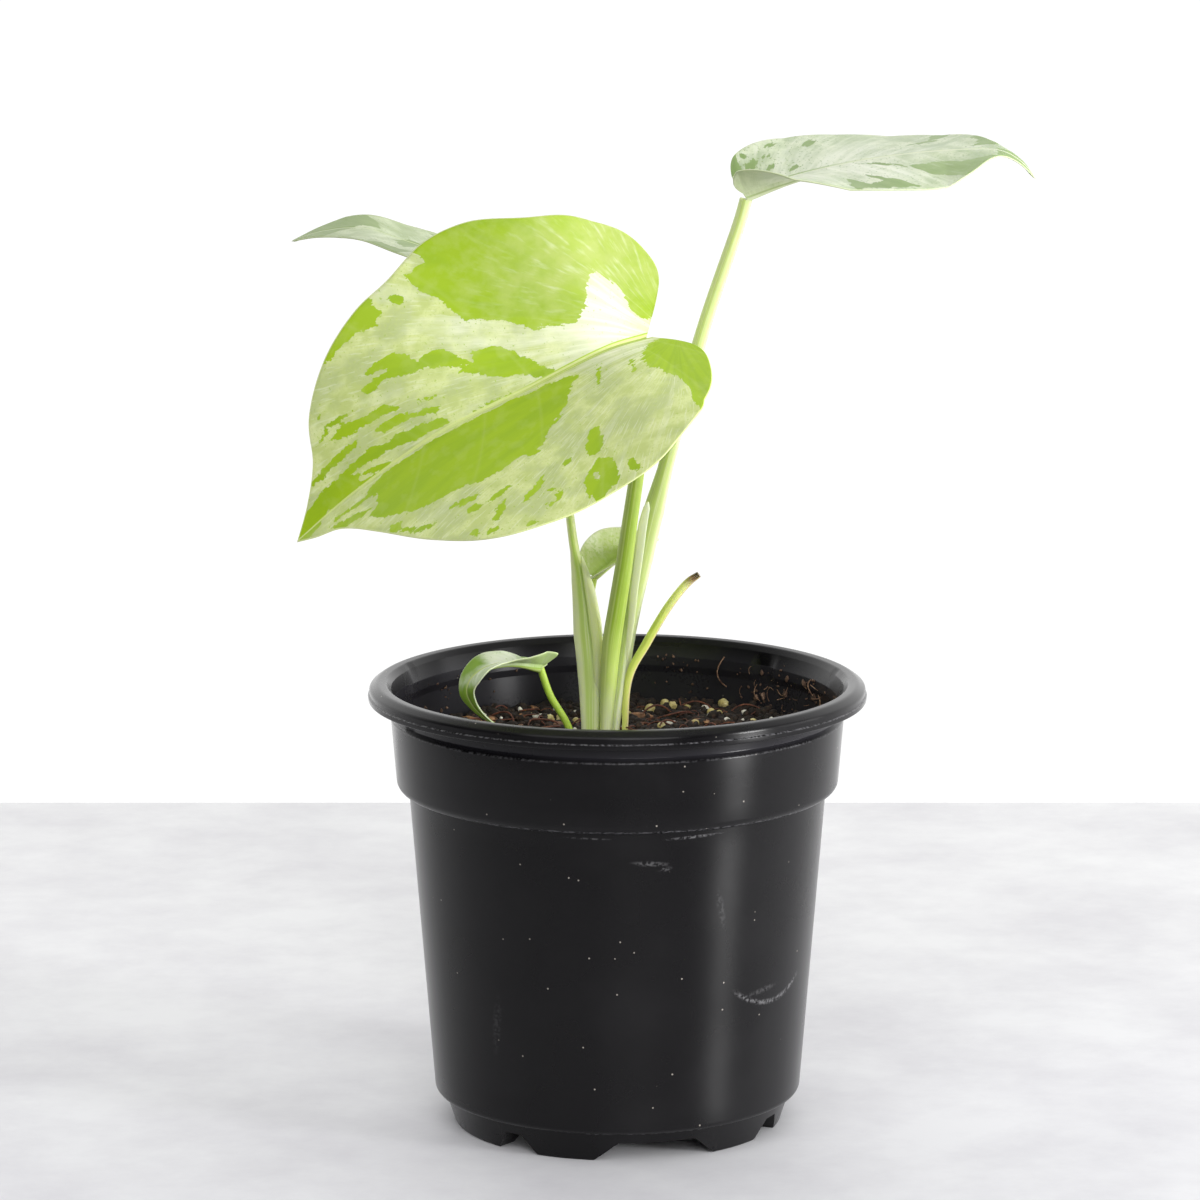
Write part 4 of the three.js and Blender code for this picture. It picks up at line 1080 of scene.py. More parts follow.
def vein_grid(leaf, length, rows, columns):
    """The flat blade's grid: rows along the veins, from the right margin over the midrib to the left,
    with columns closer together at the midrib and the margins."""
    even = np.linspace(0, 1, columns + 1)
    half = 0.5 * even + 0.5 * ease(0, 1, even)
    shares = np.r_[half[:0:-1], -half]
    row_share = np.arange(rows + 1) / rows
    root = length * row_share**VEIN_GROWTH
    right, right_run = margin(leaf["right"], length, row_share)
    left, left_run = margin(leaf.get("left", leaf["right"]), length, row_share)
    on_right = shares[None, :] > 0
    edge_x = np.where(on_right, right[:, :1], left[:, :1])
    edge_y = np.where(on_right, right[:, 1:], left[:, 1:])
    share = np.abs(shares)[None, :]
    x = root[:, None] + (edge_x - root[:, None]) * share - 2 * share * (1 - share) * VEIN_BOW * edge_y
    y = shares[None, :] * edge_y
    vein_length = np.hypot(edge_x - root[:, None], edge_y)
    margin_run = row_share[:, None] * np.where(on_right, right_run, left_run)
    return x, y, share * vein_length, margin_run, (1 - share) * vein_length


def inside_distance(x, y, outline):
    """Distance to an outline in millimetres, above zero inside it."""
    nearest = np.full(x.shape, 1e9)
    within = np.zeros(x.shape, bool)
    ends = outline[1:] + outline[:1]
    for (ax, ay), (bx, by) in zip(outline, ends):
        edge_x, edge_y = bx - ax, by - ay
        share = ((x - ax) * edge_x + (y - ay) * edge_y) / (edge_x**2 + edge_y**2)
        share = np.clip(share, 0, 1)
        nearest = np.minimum(nearest, np.hypot(x - ax - share * edge_x, y - ay - share * edge_y))
        if ay != by:
            crosses = ((ay > y) != (by > y)) & (x < ax + (y - ay) * edge_x / edge_y)
            within ^= crosses
    return np.where(within, nearest, -nearest)


def patch_field(x, y, patches, spots):
    """How far a point lies inside the nearest green patch, in millimetres, and below zero outside."""
    field = np.full(x.shape, -99.0)
    for outline in patches:
        field = np.maximum(field, inside_distance(x, y, outline))
    for spot_x, spot_y, half_long, half_wide, turn in spots:
        cos, sin = math.cos(math.radians(turn)), math.sin(math.radians(turn))
        long = ((x - spot_x) * cos + (y - spot_y) * sin) / half_long
        wide = ((y - spot_y) * cos - (x - spot_x) * sin) / half_wide
        field = np.maximum(field, (1 - np.hypot(long, wide)) * half_wide)
    return field


def glow(x, y, spots):
    """A soft field from spots (x, y, reach, strength)."""
    return sum(s * np.exp(-((x - a) ** 2 + (y - b) ** 2) / reach**2) for a, b, reach, s in spots)


def grow_blade(name, leaf, rows, columns, upper, under, node):
    """A blade's closed sheet: its upper and under sides share the margin."""
    spine = Spine(leaf["spine"])
    x, y, vein_run, margin_run, to_margin = vein_grid(leaf, spine.length, rows, columns)
    share = np.clip(x / spine.length, 0, 1)
    middle = carried(leaf, spine, x, y)
    normal = facing(leaf, spine, x, y)
    taper = np.sqrt(np.clip(to_margin / MARGIN_ROUNDING, 0, 1))

    # A groove with two shoulders over the midrib, tissue that swells between the veins, and the rib below
    off_rib = np.abs(y)
    groove = SHOULDER_HEIGHT * np.exp(-(((off_rib - 1.0) / SHOULDER_BREADTH) ** 2))
    groove -= GROOVE_DEPTH * np.exp(-((y / GROOVE_BREADTH) ** 2))
    vein_count = leaf["veins"] * np.arange(rows + 1) / rows
    crowns = np.abs(np.sin(math.pi * vein_count))[:, None] ** 0.6
    quilt = QUILT_HEIGHT * (crowns - 0.75) * ease(0, 6, off_rib) * ease(0, 5, to_margin)
    from_vein = np.abs((vein_count + 0.5) % 1 - 0.5)[:, None]
    vein_line = np.exp(-((from_vein / VEIN_LINE_SHARE) ** 2))
    rib_width = RIB_BREADTH * (1 - 0.75 * share) * leaf["rib"]
    rib = RIB_DEPTH * rib_width * np.sqrt(np.clip(1 - (y / rib_width) ** 2, 0, 1)) * (1 - 0.6 * share)
    relief = groove * (1 - share) + quilt
    top = middle + normal * ((BLADE_THICKNESS / 2 + relief) * taper)[..., None]
    low = middle - normal * ((BLADE_THICKNESS / 2 + rib - relief) * taper)[..., None]

    # Quads of both sides. At the margin and at both ends they share their points.
    count = x.size
    above = np.arange(count).reshape(x.shape)
    above[0] = above[0, 0]
    above[-1] = above[-1, 0]
    below = np.arange(count).reshape(x.shape) + count
    below[:, [0, -1]] = above[:, [0, -1]]
    below[0] = above[0]
    below[-1] = above[-1]
    quads_above = np.stack([above[:-1, :-1], above[1:, :-1], above[1:, 1:], above[:-1, 1:]], -1)
    quads_below = np.stack([below[:-1, :-1], below[:-1, 1:], below[1:, 1:], below[1:, :-1]], -1)
    quads = np.vstack([quads_above.reshape(-1, 4), quads_below.reshape(-1, 4)])
    used, packed = np.unique(quads, return_inverse=True)
    faces = []
    for quad in packed.reshape(-1, 4).tolist():
        faces.append([corner for k, corner in enumerate(quad) if corner != quad[k - 1]])
    points = np.vstack([top.reshape(-1, 3), low.reshape(-1, 3)])[used]
    made = shaped(name, points, faces, 180)
    is_under = np.repeat([0, 1], len(quads) // 2).astype(np.int32)
    made.data.materials.append(upper)
    made.data.materials.append(under)
    made.data.polygons.foreach_set("material_index", is_under)

    # What the skin reads at each point: green patches, pale stretches (painted light on the green where a
    # blade is lit), bright stretches, the run along and away from the veins (or, where a leaf has a fan,
    # round and away from its centre) and the place
    green = patch_field(x, y, leaf["patches"], leaf.get("spots", ()))
    if leaf.get("clearings"):
        green = np.minimum(green, -patch_field(x, y, leaf["clearings"], ()))
    # The pale glows lighten the green as painted light where a blade is lit
    pale = glow(x, y, leaf.get("pale", ()))
    bright = glow(x, y, leaf.get("bright", ()))
    brush = (margin_run, vein_run, np.sign(y))
    if "fan" in leaf:
        fan_x, fan_y, reach = leaf["fan"]
        brush = (np.arctan2(y - fan_y, x - fan_x) * reach, np.hypot(x - fan_x, y - fan_y), 0)
    for title, columns_of in (
        ("vein", brush), ("tissue", (green, pale, bright)), ("place", (off_rib, to_margin, share)),
        ("flat", (x, y, vein_line)),
    ):
        values = np.stack([column + 0 * x for column in columns_of], axis=-1).reshape(-1, 3)
        note(made.data, title, np.vstack([values, values])[used])
    join(made, "leaf", node)


# Noise in the "vein" space is moved by this for each step from one half of a blade to the other, so the
# halves differ; the third value of the "flat" space isn't a place and is left out
HALVES_APART = {"vein": 7, "flat": 0}


def blade_skin(name, look, under=0.0):
    """Waxy leaf skin. Its noise runs along the veins and brushes the edges of the green patches, and the
    under side is paler by a share."""
    made, tree, shader = finish_of(name)
    spaces = {title: add(tree, "ShaderNodeAttribute", {"attribute_name": title}).outputs["Vector"]
              for title in ("vein", "flat", "tissue", "place")}
    inside_patch, pale, bright = add(tree, "ShaderNodeSeparateXYZ", None, {0: spaces["tissue"]}).outputs
    off_rib, to_margin, along = add(tree, "ShaderNodeSeparateXYZ", None, {0: spaces["place"]}).outputs
    vein_line = add(tree, "ShaderNodeSeparateXYZ", None, {0: spaces["flat"]}).outputs[2]

    # Noise by name: its space, its breadth across and along the veins in millimetres, and its detail
    brushed = {}
    for title, space, breadth, length, detail in (
        ("broad", "vein", 1.7, 7, 9.0), ("streak", "vein", 0.4, 5, 4.0), ("painted_glint", "vein", 1.3, 6, 8.0),
        ("tone", "vein", 3, 20, 6.0), ("edge", "flat", 0.9, 0.9, 8.0), ("cloud", "flat", 4.2, 4.2, 8.0),
        ("fleck", "flat", 0.6, 0.9, 3.0), ("grain", "flat", 0.5, 0.7, 3.0), ("region", "flat", 10, 10, 4.0),
    ):
        stretched = add(tree, "ShaderNodeMapping", None,
                        {"Vector": spaces[space], "Scale": (1 / breadth, 1 / length, HALVES_APART[space])})
        brushed[title] = add(tree, "ShaderNodeTexNoise", None,
                             {"Vector": stretched, "Scale": 1.0, "Detail": detail})

    # The edges of the green patches swing to and fro by a reach in millimetres
    field = inside_patch
    for title, reach in (("broad", look["brush"]), ("edge", look["ragged"])):
        swing = add(tree, "ShaderNodeMath", {"operation": "MULTIPLY_ADD"},
                    {0: brushed[title], 1: 4 * reach, 2: -2 * reach})
        field = add(tree, "ShaderNodeMath", {"operation": "ADD"}, {0: field, 1: swing})
    rib_width = add(tree, "ShaderNodeMath", {"operation": "MULTIPLY_ADD"},
                    {0: along, 1: -0.65 * look["rib"], 2: 0.85 * look["rib"]})
    rib_reach = add(tree, "ShaderNodeMath", {"operation": "DIVIDE"}, {0: off_rib, 1: rib_width})

    # Shares that go smoothly from a low to a high value while a measure goes from a start to an end
    shares = {"pale": pale, "bright": bright, "vein": vein_line, "vein_strength": 0.18, "under": under}
    for title, measure, start, end, low, high in (
        ("patch", field, -look["soft"], look["soft"], 0.0, 1.0),
        ("near_patch", field, -7.0, -0.5, 0.25, 1.0),
        ("fleck", brushed["fleck"], look["flecks"], look["flecks"] + 0.05, 0.0, 0.7),
        ("cloud", brushed["cloud"], 0.4, 0.62, 0.0, 1.0),
        ("region", brushed["region"], 0.44, 0.6, 0.0, 0.7),
        ("grain", brushed["grain"], 0.5, 0.68, 0.0, 0.55),
        ("streak", brushed["streak"], 0.52, 0.7, 0.0, 0.3),
        ("white_tone", brushed["tone"], 0.35, 0.7, -0.35, 0.18),
        ("light_cloud", brushed["cloud"], 0.3, 0.7, -0.25, 0.2),
        ("rich_tone", brushed["tone"], 0.4, 0.65, 0.0, 0.5),
        ("painted_glint", brushed["painted_glint"], 0.5, 0.76, 0.0, 0.48),
        ("midrib", rib_reach, 1.25, 1.0, 0.0, 0.9),
        ("rib_side", rib_reach, 0.75, 0.95, 0.0, 1.0),
        ("rib_foot", rib_reach, 1.35, 1.1, 0.0, 0.85),
        ("rib_groove", rib_reach, 0.35, 0.1, 0.0, 0.6),
        ("near_stalk", along, 0.42, 0.2, 0.0, 1.0),
        ("margin", to_margin, 0.4, 0.12, 0.0, 0.8),
    ):
        shares[title] = add(tree, "ShaderNodeMapRange", SOFT_STEP,
                            {"Value": measure, "From Min": start, "From Max": end, "To Min": low,
                             "To Max": high})

    # Shares made of two others: flecks only near a patch, the white of the cream, the light of the green
    # (painted light where the pale glows lie), and painted glints only where it is pale
    for title, operation, first, second in (
        ("fleck", "MULTIPLY", "fleck", "near_patch"), ("green", "MAXIMUM", "patch", "fleck"),
        ("white", "ADD", "bright", "white_tone"), ("light", "ADD", "pale", "light_cloud"),
        ("painted_glint", "MULTIPLY", "painted_glint", "pale"), ("vein", "MULTIPLY", "vein", "vein_strength"),
        ("rib_side", "MULTIPLY", "rib_side", "rib_foot"),
        ("rib_side", "MULTIPLY", "rib_side", "near_stalk"),
        ("rib_groove", "MULTIPLY", "rib_groove", "near_stalk"),
    ):
        shares[title] = add(tree, "ShaderNodeMath", {"operation": operation, "use_clamp": operation == "ADD"},
                            {0: shares[first], 1: shares[second]})

    # Layers of colour from the lowest up: first in the cream and in the green, then over the whole blade.
    # In the green the light layer is painted light where a blade is lit, and the white streaks are painted
    # glints
    coats = {"cream": look["cream"], "green": look["green"]}
    for coat, share, colour in (
        ("cream", "cloud", "shade"), ("cream", "region", "deep"), ("cream", "grain", "shade"),
        ("cream", "streak", "white"), ("cream", "white", "white"), ("green", "rich_tone", "rich"),
        ("green", "light", "light"), ("green", "painted_glint", "white"), ("green", "vein", "light"),
    ):
        coats[coat] = add(tree, "ShaderNodeMixRGB", None,
                          {"Fac": shares[share], "Color1": coats[coat], "Color2": look[colour]})
    blade = add(tree, "ShaderNodeMixRGB", None,
                {"Fac": shares["green"], "Color1": coats["cream"], "Color2": coats["green"]})
    for share, colour in (
        ("midrib", "midrib"), ("rib_side", "green"), ("rib_groove", "green"), ("margin", "margin"),
        ("under", "under"),
    ):
        blade = add(tree, "ShaderNodeMixRGB", None,
                    {"Fac": shares[share], "Color1": blade, "Color2": look[colour]})
    tree.links.new(blade.outputs[0], shader.inputs["Base Color"])
    grain = add(tree, "ShaderNodeMath", {"operation": "ADD"}, {0: brushed["edge"], 1: brushed["streak"]})
    bump = add(tree, "ShaderNodeBump", None, {"Height": grain, "Strength": 0.2, "Distance": 0.1 * MM})
    tree.links.new(bump.outputs[0], shader.inputs["Normal"])
    shader.inputs["Roughness"].default_value = 0.5 if under else 0.4
    shader.inputs["IOR"].default_value = 1.4
    shader.inputs["Specular IOR Level"].default_value = 0.3
    shader.inputs["Subsurface Weight"].default_value = 0.12
    shader.inputs["Subsurface Radius"].default_value = (0.8, 1.0, 0.3)
    shader.inputs["Subsurface Scale"].default_value = 0.8 * MM
    return made


# Colours of each leaf: its cream from shade to white, its green from rich to light, its ribs and margin,
# and in millimetres how far noise brushes the patches and how soft their edges are
front_look = {
    "cream": "#d7e19b", "shade": "#c5d283", "deep": "#b7c487", "white": "#f6f9e2", "green": "#a4c321",
    "rich": "#8fb224", "light": "#bfcf74", "midrib": "#d9e494", "margin": "#dde6a8", "under": "#bccb84",
    "brush": 0.8, "ragged": 0.42, "soft": 0.06, "flecks": 0.64, "rib": 1.0,
}
pale_look = {
    "cream": "#d3dcbd", "shade": "#bccaa4", "deep": "#a9bb92", "white": "#edf1de", "green": "#8fa869",
    "rich": "#7f9b58", "light": "#a9bd88", "midrib": "#dfe6c6", "margin": "#dde6c0", "under": "#b9c48f",
    "brush": 0.8, "ragged": 0.25, "soft": 0.12, "flecks": 0.6, "rib": 0.8,
}
back_look = {
    "cream": "#bac69d", "shade": "#a2b27f", "deep": "#96a873", "white": "#d3dbbe", "green": "#839a58",
    "rich": "#778f4c", "light": "#98aa70", "midrib": "#bcc79a", "margin": "#c2cca6", "under": "#a9b682",
    "brush": 0.9, "ragged": 0.25, "soft": 0.2, "flecks": 0.6, "rib": 0.8,
}
# The young leaf's colours are its pale young tissue, raised towards white as painted light that stands in for
# the light it misses in the shade of the front leaf
young_look = {
    "cream": "#eef1da", "shade": "#d9e2b6", "deep": "#cad692", "white": "#fbfcf0", "green": "#c0d477",
    "rich": "#aec75c", "light": "#d2df96", "midrib": "#dde7b0", "margin": "#f3f5e2", "under": "#d4de9f",
    "brush": 0.5, "ragged": 0.8, "soft": 1.5, "flecks": 0.5, "rib": 0.5,
}
low_look = {
    "cream": "#cfd8c0", "shade": "#bccaa4", "deep": "#adbf90", "white": "#eff2e6", "green": "#82a33c",
    "rich": "#76973a", "light": "#a4c04c", "midrib": "#c3d084", "margin": "#e6ebd2", "under": "#9dbc48",
    "brush": 0.4, "ragged": 0.3, "soft": 1.2, "flecks": 0.64, "rib": 0.45,
}

# Form of each leaf. The spine runs from the stalk to the tip. The rest is drawn on the flat blade in
# millimetres, x from the stalk along the midrib and y to the right of it: margins, green patches, spots
# (x, y, half length, half breadth, turn), clearings, and pale and bright glows (x, y, reach, strength);
# the pale glows are painted light and painted glints on the green
front_leaf = {
    "spine": [
        (6.2, -14, 177.5), (-1.6, -17, 175.6), (-20.1, -19.4, 166.7), (-38.6, -21, 157.5),
        (-57.3, -18.3, 143.9), (-69.5, -14.3, 132.8),
    ],
    "facing": [(-0.295, -0.7, 0.648), (-0.295, -0.7, 0.648)],
    "fold_left": [16, 14, 14],
    "fold_right": [16, 16, 16],
    "wave": {"height": 1.2, "count": 1.5, "start": 0.5, "lag": 2, "reach": 42},
    "right": [
        (-4.3, 6.6), (-8.4, 12.6), (-8.7, 18.6), (-5.2, 26.2), (3.4, 32), (12, 35.6), (23.6, 41.4),
        (35, 42.4), (45.5, 37.8), (53.5, 35), (64, 29), (73, 20.6), (77.5, 11.6), (83.5, 5.2),
    ],
    "left": [
        (-5.4, 4.6), (-8.3, 9.6), (-7.6, 16.2), (-3.6, 25.4), (4.6, 34.6), (12.2, 42.6), (23.5, 44.4),
        (36.6, 44.7), (47.3, 41.4), (58, 30.6), (69.1, 16.8), (77.5, 7.6), (84.7, 3.6),
    ],
    "fan": (-6, -3, 40),
    "veins": 9,
    "rib": 1.0,
    "patches": [
        # upper sector, out past the margin
        [
            (38.5, 44), (36, 38), (41.5, 37), (40.5, 33), (38.5, 30.5), (36.5, 27.5), (34.5, 22),
            (33, 20.5), (28, 18), (22, 12.5), (17, 10), (12.5, 8.5), (9.5, 11), (7, 16), (5, 18.5),
            (2.5, 15.5), (1, 12), (0.5, 8), (-0.5, 5), (-2.5, 4), (-12, 4), (-14, 26), (2, 36), (20, 46),
        ],
        # streaks of the upper half, from the midrib outwards
        [(21.5, 0.5), (24, 4.5), (27, 9), (31, 12.5), (36.5, 14), (36, 11), (41, 10.5), (38, 9),
         (33, 6), (30, 4.5), (28, 3.5), (24, 1)],
        [(37, 11.5), (38.5, 14.5), (41.5, 17), (45, 18), (46.5, 16.8), (47.5, 19), (50, 21.5),
         (53.5, 22.5), (57.5, 21), (57, 20.3), (54, 20), (52.5, 19), (56, 18.8), (60, 18), (59, 17),
         (54.5, 17.5), (51, 15.5), (46, 15), (43, 13.5), (40, 12.2)],
        [(49, 33), (49.5, 38), (58, 36), (66, 30), (64.5, 28.5), (62, 28.2), (58, 30), (55, 30.7),
         (53.5, 29.5), (50.5, 29.3), (50, 31), (48.5, 31.5)],
        [(54.5, 10), (57, 12.5), (62, 12.8), (67, 14.2), (72, 13.5), (74.5, 12.8), (72, 12.8),
         (67, 11.5), (60, 10.8), (56, 9.8)],
        [(70.5, 16.3), (74.5, 14.2), (73, 13.8), (71, 14.5)],
        [(47, 5.3), (50, 7), (56, 9), (62, 8.8), (60, 7), (54, 6.5), (50, 5.5), (48, 4.7)],
        [(66, 9.2), (72, 9.8), (77, 9.2), (80, 8), (77, 7.2), (73, 7.8), (68, 8.5)],
        [(45, 0.6), (48, 3.2), (53, 4.5), (58, 5), (63, 4), (60, 2.5), (55, 2), (50, 1), (46, 0.3)],
        [(58, 4), (64, 6.2), (70, 6), (74, 5), (73, 4), (67, 3.6), (60, 3.2)],
        [(62, 1.5), (68, 2.5), (74, 4.8), (79, 5), (85, 3.5), (92, 1), (92, -4), (86, -2), (80, 0.2),
         (72, 0.3), (66, 0.3), (62, 0.5)],
        # the lower sector with its feathers towards the tip
        [(17, -4), (20, -2.5), (25, -1.8), (35, -1.4), (45, -1.3), (55, -1.2), (64, -1), (68, -2),
         (70, -4), (67, -6), (68, -8.5), (70, -10), (69, -12.5), (66, -14.5), (62, -17.5),
         (55, -19.5), (50, -20.5), (45, -21.8), (41, -21.5), (36, -19.8), (33, -20.8), (30, -19),
         (28, -15.5), (25, -14), (22, -10), (19, -5.5)],
        [(67, -4.5), (74, -3.5), (79, -3), (79, -4), (73, -5), (67, -5.5)],
        [(69, -8.5), (76, -5.5), (80, -5), (78, -7.2), (72, -9)],
        # the lobe beside the stalk
        [(-4, -2), (0.5, -2.4), (3.2, -5), (4.6, -8), (4.8, -11.5), (3.2, -13.2), (2.6, -15.8),
         (1.6, -17.4), (1.2, -20.4), (0.6, -24), (2.5, -28.5), (3.5, -33), (-6, -30), (-14, -10)],
        [(12, -4.5), (14.5, -10.5), (15, -10), (13.5, -5)],
        [(6, -7), (7.2, -11), (7.7, -11), (6.8, -7)],
        # islands of the lower half
        [(19, -23), (20.5, -22.5), (23, -26.5), (23.5, -30), (21, -31), (19.5, -29.5), (19, -26)],
        [(19.5, -34.5), (22, -32.3), (25, -34.5), (26.5, -37), (27.5, -40.5), (26.5, -44.5),
         (24, -44), (21, -42), (19.3, -40), (19.5, -36.5)],
        [(33.5, -29), (36, -33), (40, -35), (39, -33), (35, -30)],
        [(42, -30.5), (43.5, -34), (45.5, -36.5), (46.2, -35.5), (44.5, -32.5)],
    ],
    "spots": [
        (45, 32.5, 1.2, 0.9, 60), (67.5, 15.9, 2.6, 0.5, 8), (71, 19, 0.6, 0.5, 0), (67, 20, 0.4, 0.3, 0),
        (48.7, 8.5, 1.4, 0.4, 20), (37, 0.6, 3, 0.4, 0), (16.5, -39.8, 2, 0.9, 80), (28, -28.5, 1, 0.8, 0),
        (33.5, -21, 1.5, 0.9, 20), (34, -34.5, 0.7, 0.5, 30), (33, -37, 1.1, 0.5, 110),
        (35.5, -39, 0.8, 0.6, 0), (40, -42.5, 0.6, 0.5, 0), (49.5, -25.3, 2.5, 1, 10),
        (43.8, -28.5, 2.3, 0.8, -15), (48.5, -29, 1.5, 1.2, 0), (50, -36.5, 1.2, 1.6, 0),
        (46.8, -39, 1.2, 0.9, 0), (52, -31, 0.8, 0.5, 0), (58.5, -25.5, 2.2, 0.7, 20),
        (63, -22, 4, 0.8, 45), (66, -18, 1.5, 0.6, 30), (77.5, -7, 1.6, 0.5, 20),
    ],
    "clearings": [
        [(63, 0.6), (66, 0.9), (70, 1.8), (70, 1.3), (66, 0.4)],
        [(23.5, -36), (24.3, -36), (24, -39), (23.4, -39)],
    ],
    # The pale glows are painted light: they lighten the green of the upper sector near the stalk, where the
    # light falls, and carry its painted glossy glints
    "pale": [(0, 22, 16, 0.85), (20, 24, 14, 0.3)],
    "bright": [(6, 8, 13, 1.0), (26, 18, 16, 0.4), (50, 26, 18, 0.05)],
}
right_leaf = {
    "spine": [
        (28, 4, 206.5), (36.9, 4, 209.8), (48.4, 4, 212.8), (61.4, 4, 215), (76, 3.6, 216.2),
        (83.4, 3, 215.9), (87.5, 2.6, 213.7), (90.9, 2, 210),
    ],
    "facing": [(0, -0.1, 1), (0.2, -0.2, 1)],
    "fold_left": [28, 11, 2, -4.5, -6, -1, -2],
    "fold_right": [36, 12, 0.5, -3.5, -8, 0, 0],
    "right": [
        (-1.1, 3.3), (-1.7, 7.8), (0.2, 13.6), (7.4, 19.2), (17, 22.6), (28, 23.6), (37.6, 22.4),
        (45, 19.4), (51, 14), (55, 7), (58.4, 2.8),
    ],
    "veins": 8,
    "rib": 0.9,
    "patches": [
        [(24, 26), (24.5, 22.5), (30, 22.5), (35, 21.5), (40, 20.2), (37, 19.5), (33, 16.5),
         (29, 14.5), (26, 11.8), (26.5, 14), (30, 17), (27, 19), (22, 14), (22.5, 20)],
        [(36, 8), (40, 13), (46, 14), (52, 19), (60, 12), (56, 4), (50, 7), (42, 6)],
        [(50, -2.5), (54, -4), (58, -6), (54, -16), (50, -12), (52, -8)],
        [(56, 5), (60, 3), (68, 0), (60, -3), (56, -1)],
        [(1.8, -7.5), (4, -7.5), (5, -10.5), (3.8, -11.5), (2, -9.5)],
        [(41, -13), (44, -15), (47, -19), (42, -19)],
        [(-4, -5), (1, -8), (0, -16), (-4, -14)],
    ],
    "spots": [
        (7, -6.8, 1.3, 0.6, -60), (11.5, -4, 1.5, 1.1, -30), (2, -13, 0.9, 0.6, 60),
        (6.5, -11.5, 0.9, 0.5, -60), (8.5, -16.5, 1.3, 0.6, -50), (16, -17, 2.4, 1.2, -60),
        (30, 5, 4, 0.6, 30), (40, -11, 3.5, 0.9, -30),
    ],
    "bright": [(20, 0, 20, 0.7), (35, 12, 10, 0.4)],
    "pale": [(45, 10, 10, 0.5)],
}
back_leaf = {
    "spine": [
        (-16, 29, 181.5), (-20, 30, 183.5), (-33.5, 32, 188), (-48, 33.5, 192.6), (-57, 34, 195.2),
        (-66, 34.3, 194.4), (-72.9, 34.5, 192.3),
    ],
    "facing": [(0, 0, 1), (0, 0, 1)],
    "fold_left": [22, 6, 1, -1, -4, -4],
    "fold_right": [22, 6, 1, 3, 8, 5],
    "right": [
        (-3, 3), (-5, 8), (-4, 14.5), (2, 20.5), (11, 23), (22, 22), (33, 18.6), (43, 14), (51, 7.6),
    ],
    "veins": 7,
    "rib": 0.85,
    "patches": [
        [(40, 3), (41, 8), (44, 12), (52, 8), (62, 3), (62, -3), (52, -7), (47, -2), (44, 2)],
        [(30, 1), (31, -5), (33, -9), (36, -4), (33, 2)],
        [(30, -12), (34, -20), (42, -16), (38, -12), (33, -13)],
        [(8, 4), (14, 14), (24, 20), (30, 16), (22, 8), (14, 3)],
        [(2, -6), (6, -20), (18, -24), (20, -16), (12, -8)],
    ],
    "bright": [(38, -6, 12, 0.6), (10, 0, 10, 0.6)],
    "pale": [(50, 0, 8, 0.2)],
}
young_leaf = {
    "spine": [(-5, 8.6, 121.2), (-0.4, 9.6, 124.4), (5, 10.6, 127.2), (9.4, 11.2, 128.9)],
    "facing": [(-0.38, -0.5, 0.78), (-0.38, -0.5, 0.78)],
    "fold_left": [38, 33, 30],
    "fold_right": [38, 33, 30],
    "right": [(-1.5, 2), (-1.2, 4.4), (1.6, 7), (6, 8), (10.6, 6), (14.4, 2.2)],
    "veins": 6,
    "rib": 0.5,
    "patches": [
        [(-2, 1), (-1, -1.5), (3, -2.6), (8, -2), (13, 0), (12, 4), (8, 9), (2, 8), (-2, 4)],
    ],
    "bright": [(4, -7, 2.4, 0.5)],
    "pale": [(2, -2, 3, 0.5)],
}
low_leaf = {
    "spine": [
        (-16.9, -5.9, 103.3), (-21.8, -7, 104.6), (-26.2, -7.6, 104.4), (-29.8, -8, 103.2),
        (-32.2, -8.2, 101), (-32.9, -8.5, 98.4), (-31.8, -8.8, 95.8), (-30.2, -9, 93.9),
        (-27.8, -9.2, 91.9), (-24.8, -9.4, 90.2),
    ],
    "facing": [(0, 0, 1), (-0.75, -0.5, -0.42)],
    "fold_left": [62, 34, 22, 20, 6, 0, 0, 0, 0],
    "fold_right": [20, 5, 14, 12, 4, 2, 0, 0, 0],
    "right": [(-1.4, 1.4), (-1.8, 2.8), (0.6, 4), (6, 4.6), (13, 5), (19, 3.2), (25, 1.2)],
    "left": [
        (-1, 2.2), (-2.6, 4.6), (-1.2, 5), (2.5, 4.2), (7, 3.4), (13, 4.6), (19, 3), (25, 1.2),
    ],
    "veins": 6,
    "rib": 0.5,
    "patches": [
        [(-3, 0), (-2, 5), (4, 4.5), (5, 2), (2, 0)],
        [(17, -6), (18, 0), (19, 6), (34, 4), (34, -4)],
        [(12, 1), (13, 5), (17, 5), (18, 2), (15, 0.5)],
    ],
    "bright": [(9, 0, 5, 0.9)],
    "pale": [(1, 1, 2, 0.5)],
}

UNDER_PALER = 0.45
for title, leaf, look, rows, columns in (
    ("front_leaf", front_leaf, front_look, 300, 78),
    ("right_leaf", right_leaf, pale_look, 180, 48),
    ("back_leaf", back_leaf, back_look, 150, 40),
    ("young_leaf", young_leaf, young_look, 80, 24),
    ("low_leaf", low_leaf, low_look, 120, 24),
):
    upper = blade_skin(title + "_upper_skin", look)
    under = blade_skin(title + "_under_skin", look, UNDER_PALER)
    grow_blade(title + "_blade", leaf, rows, columns, upper, under, title)


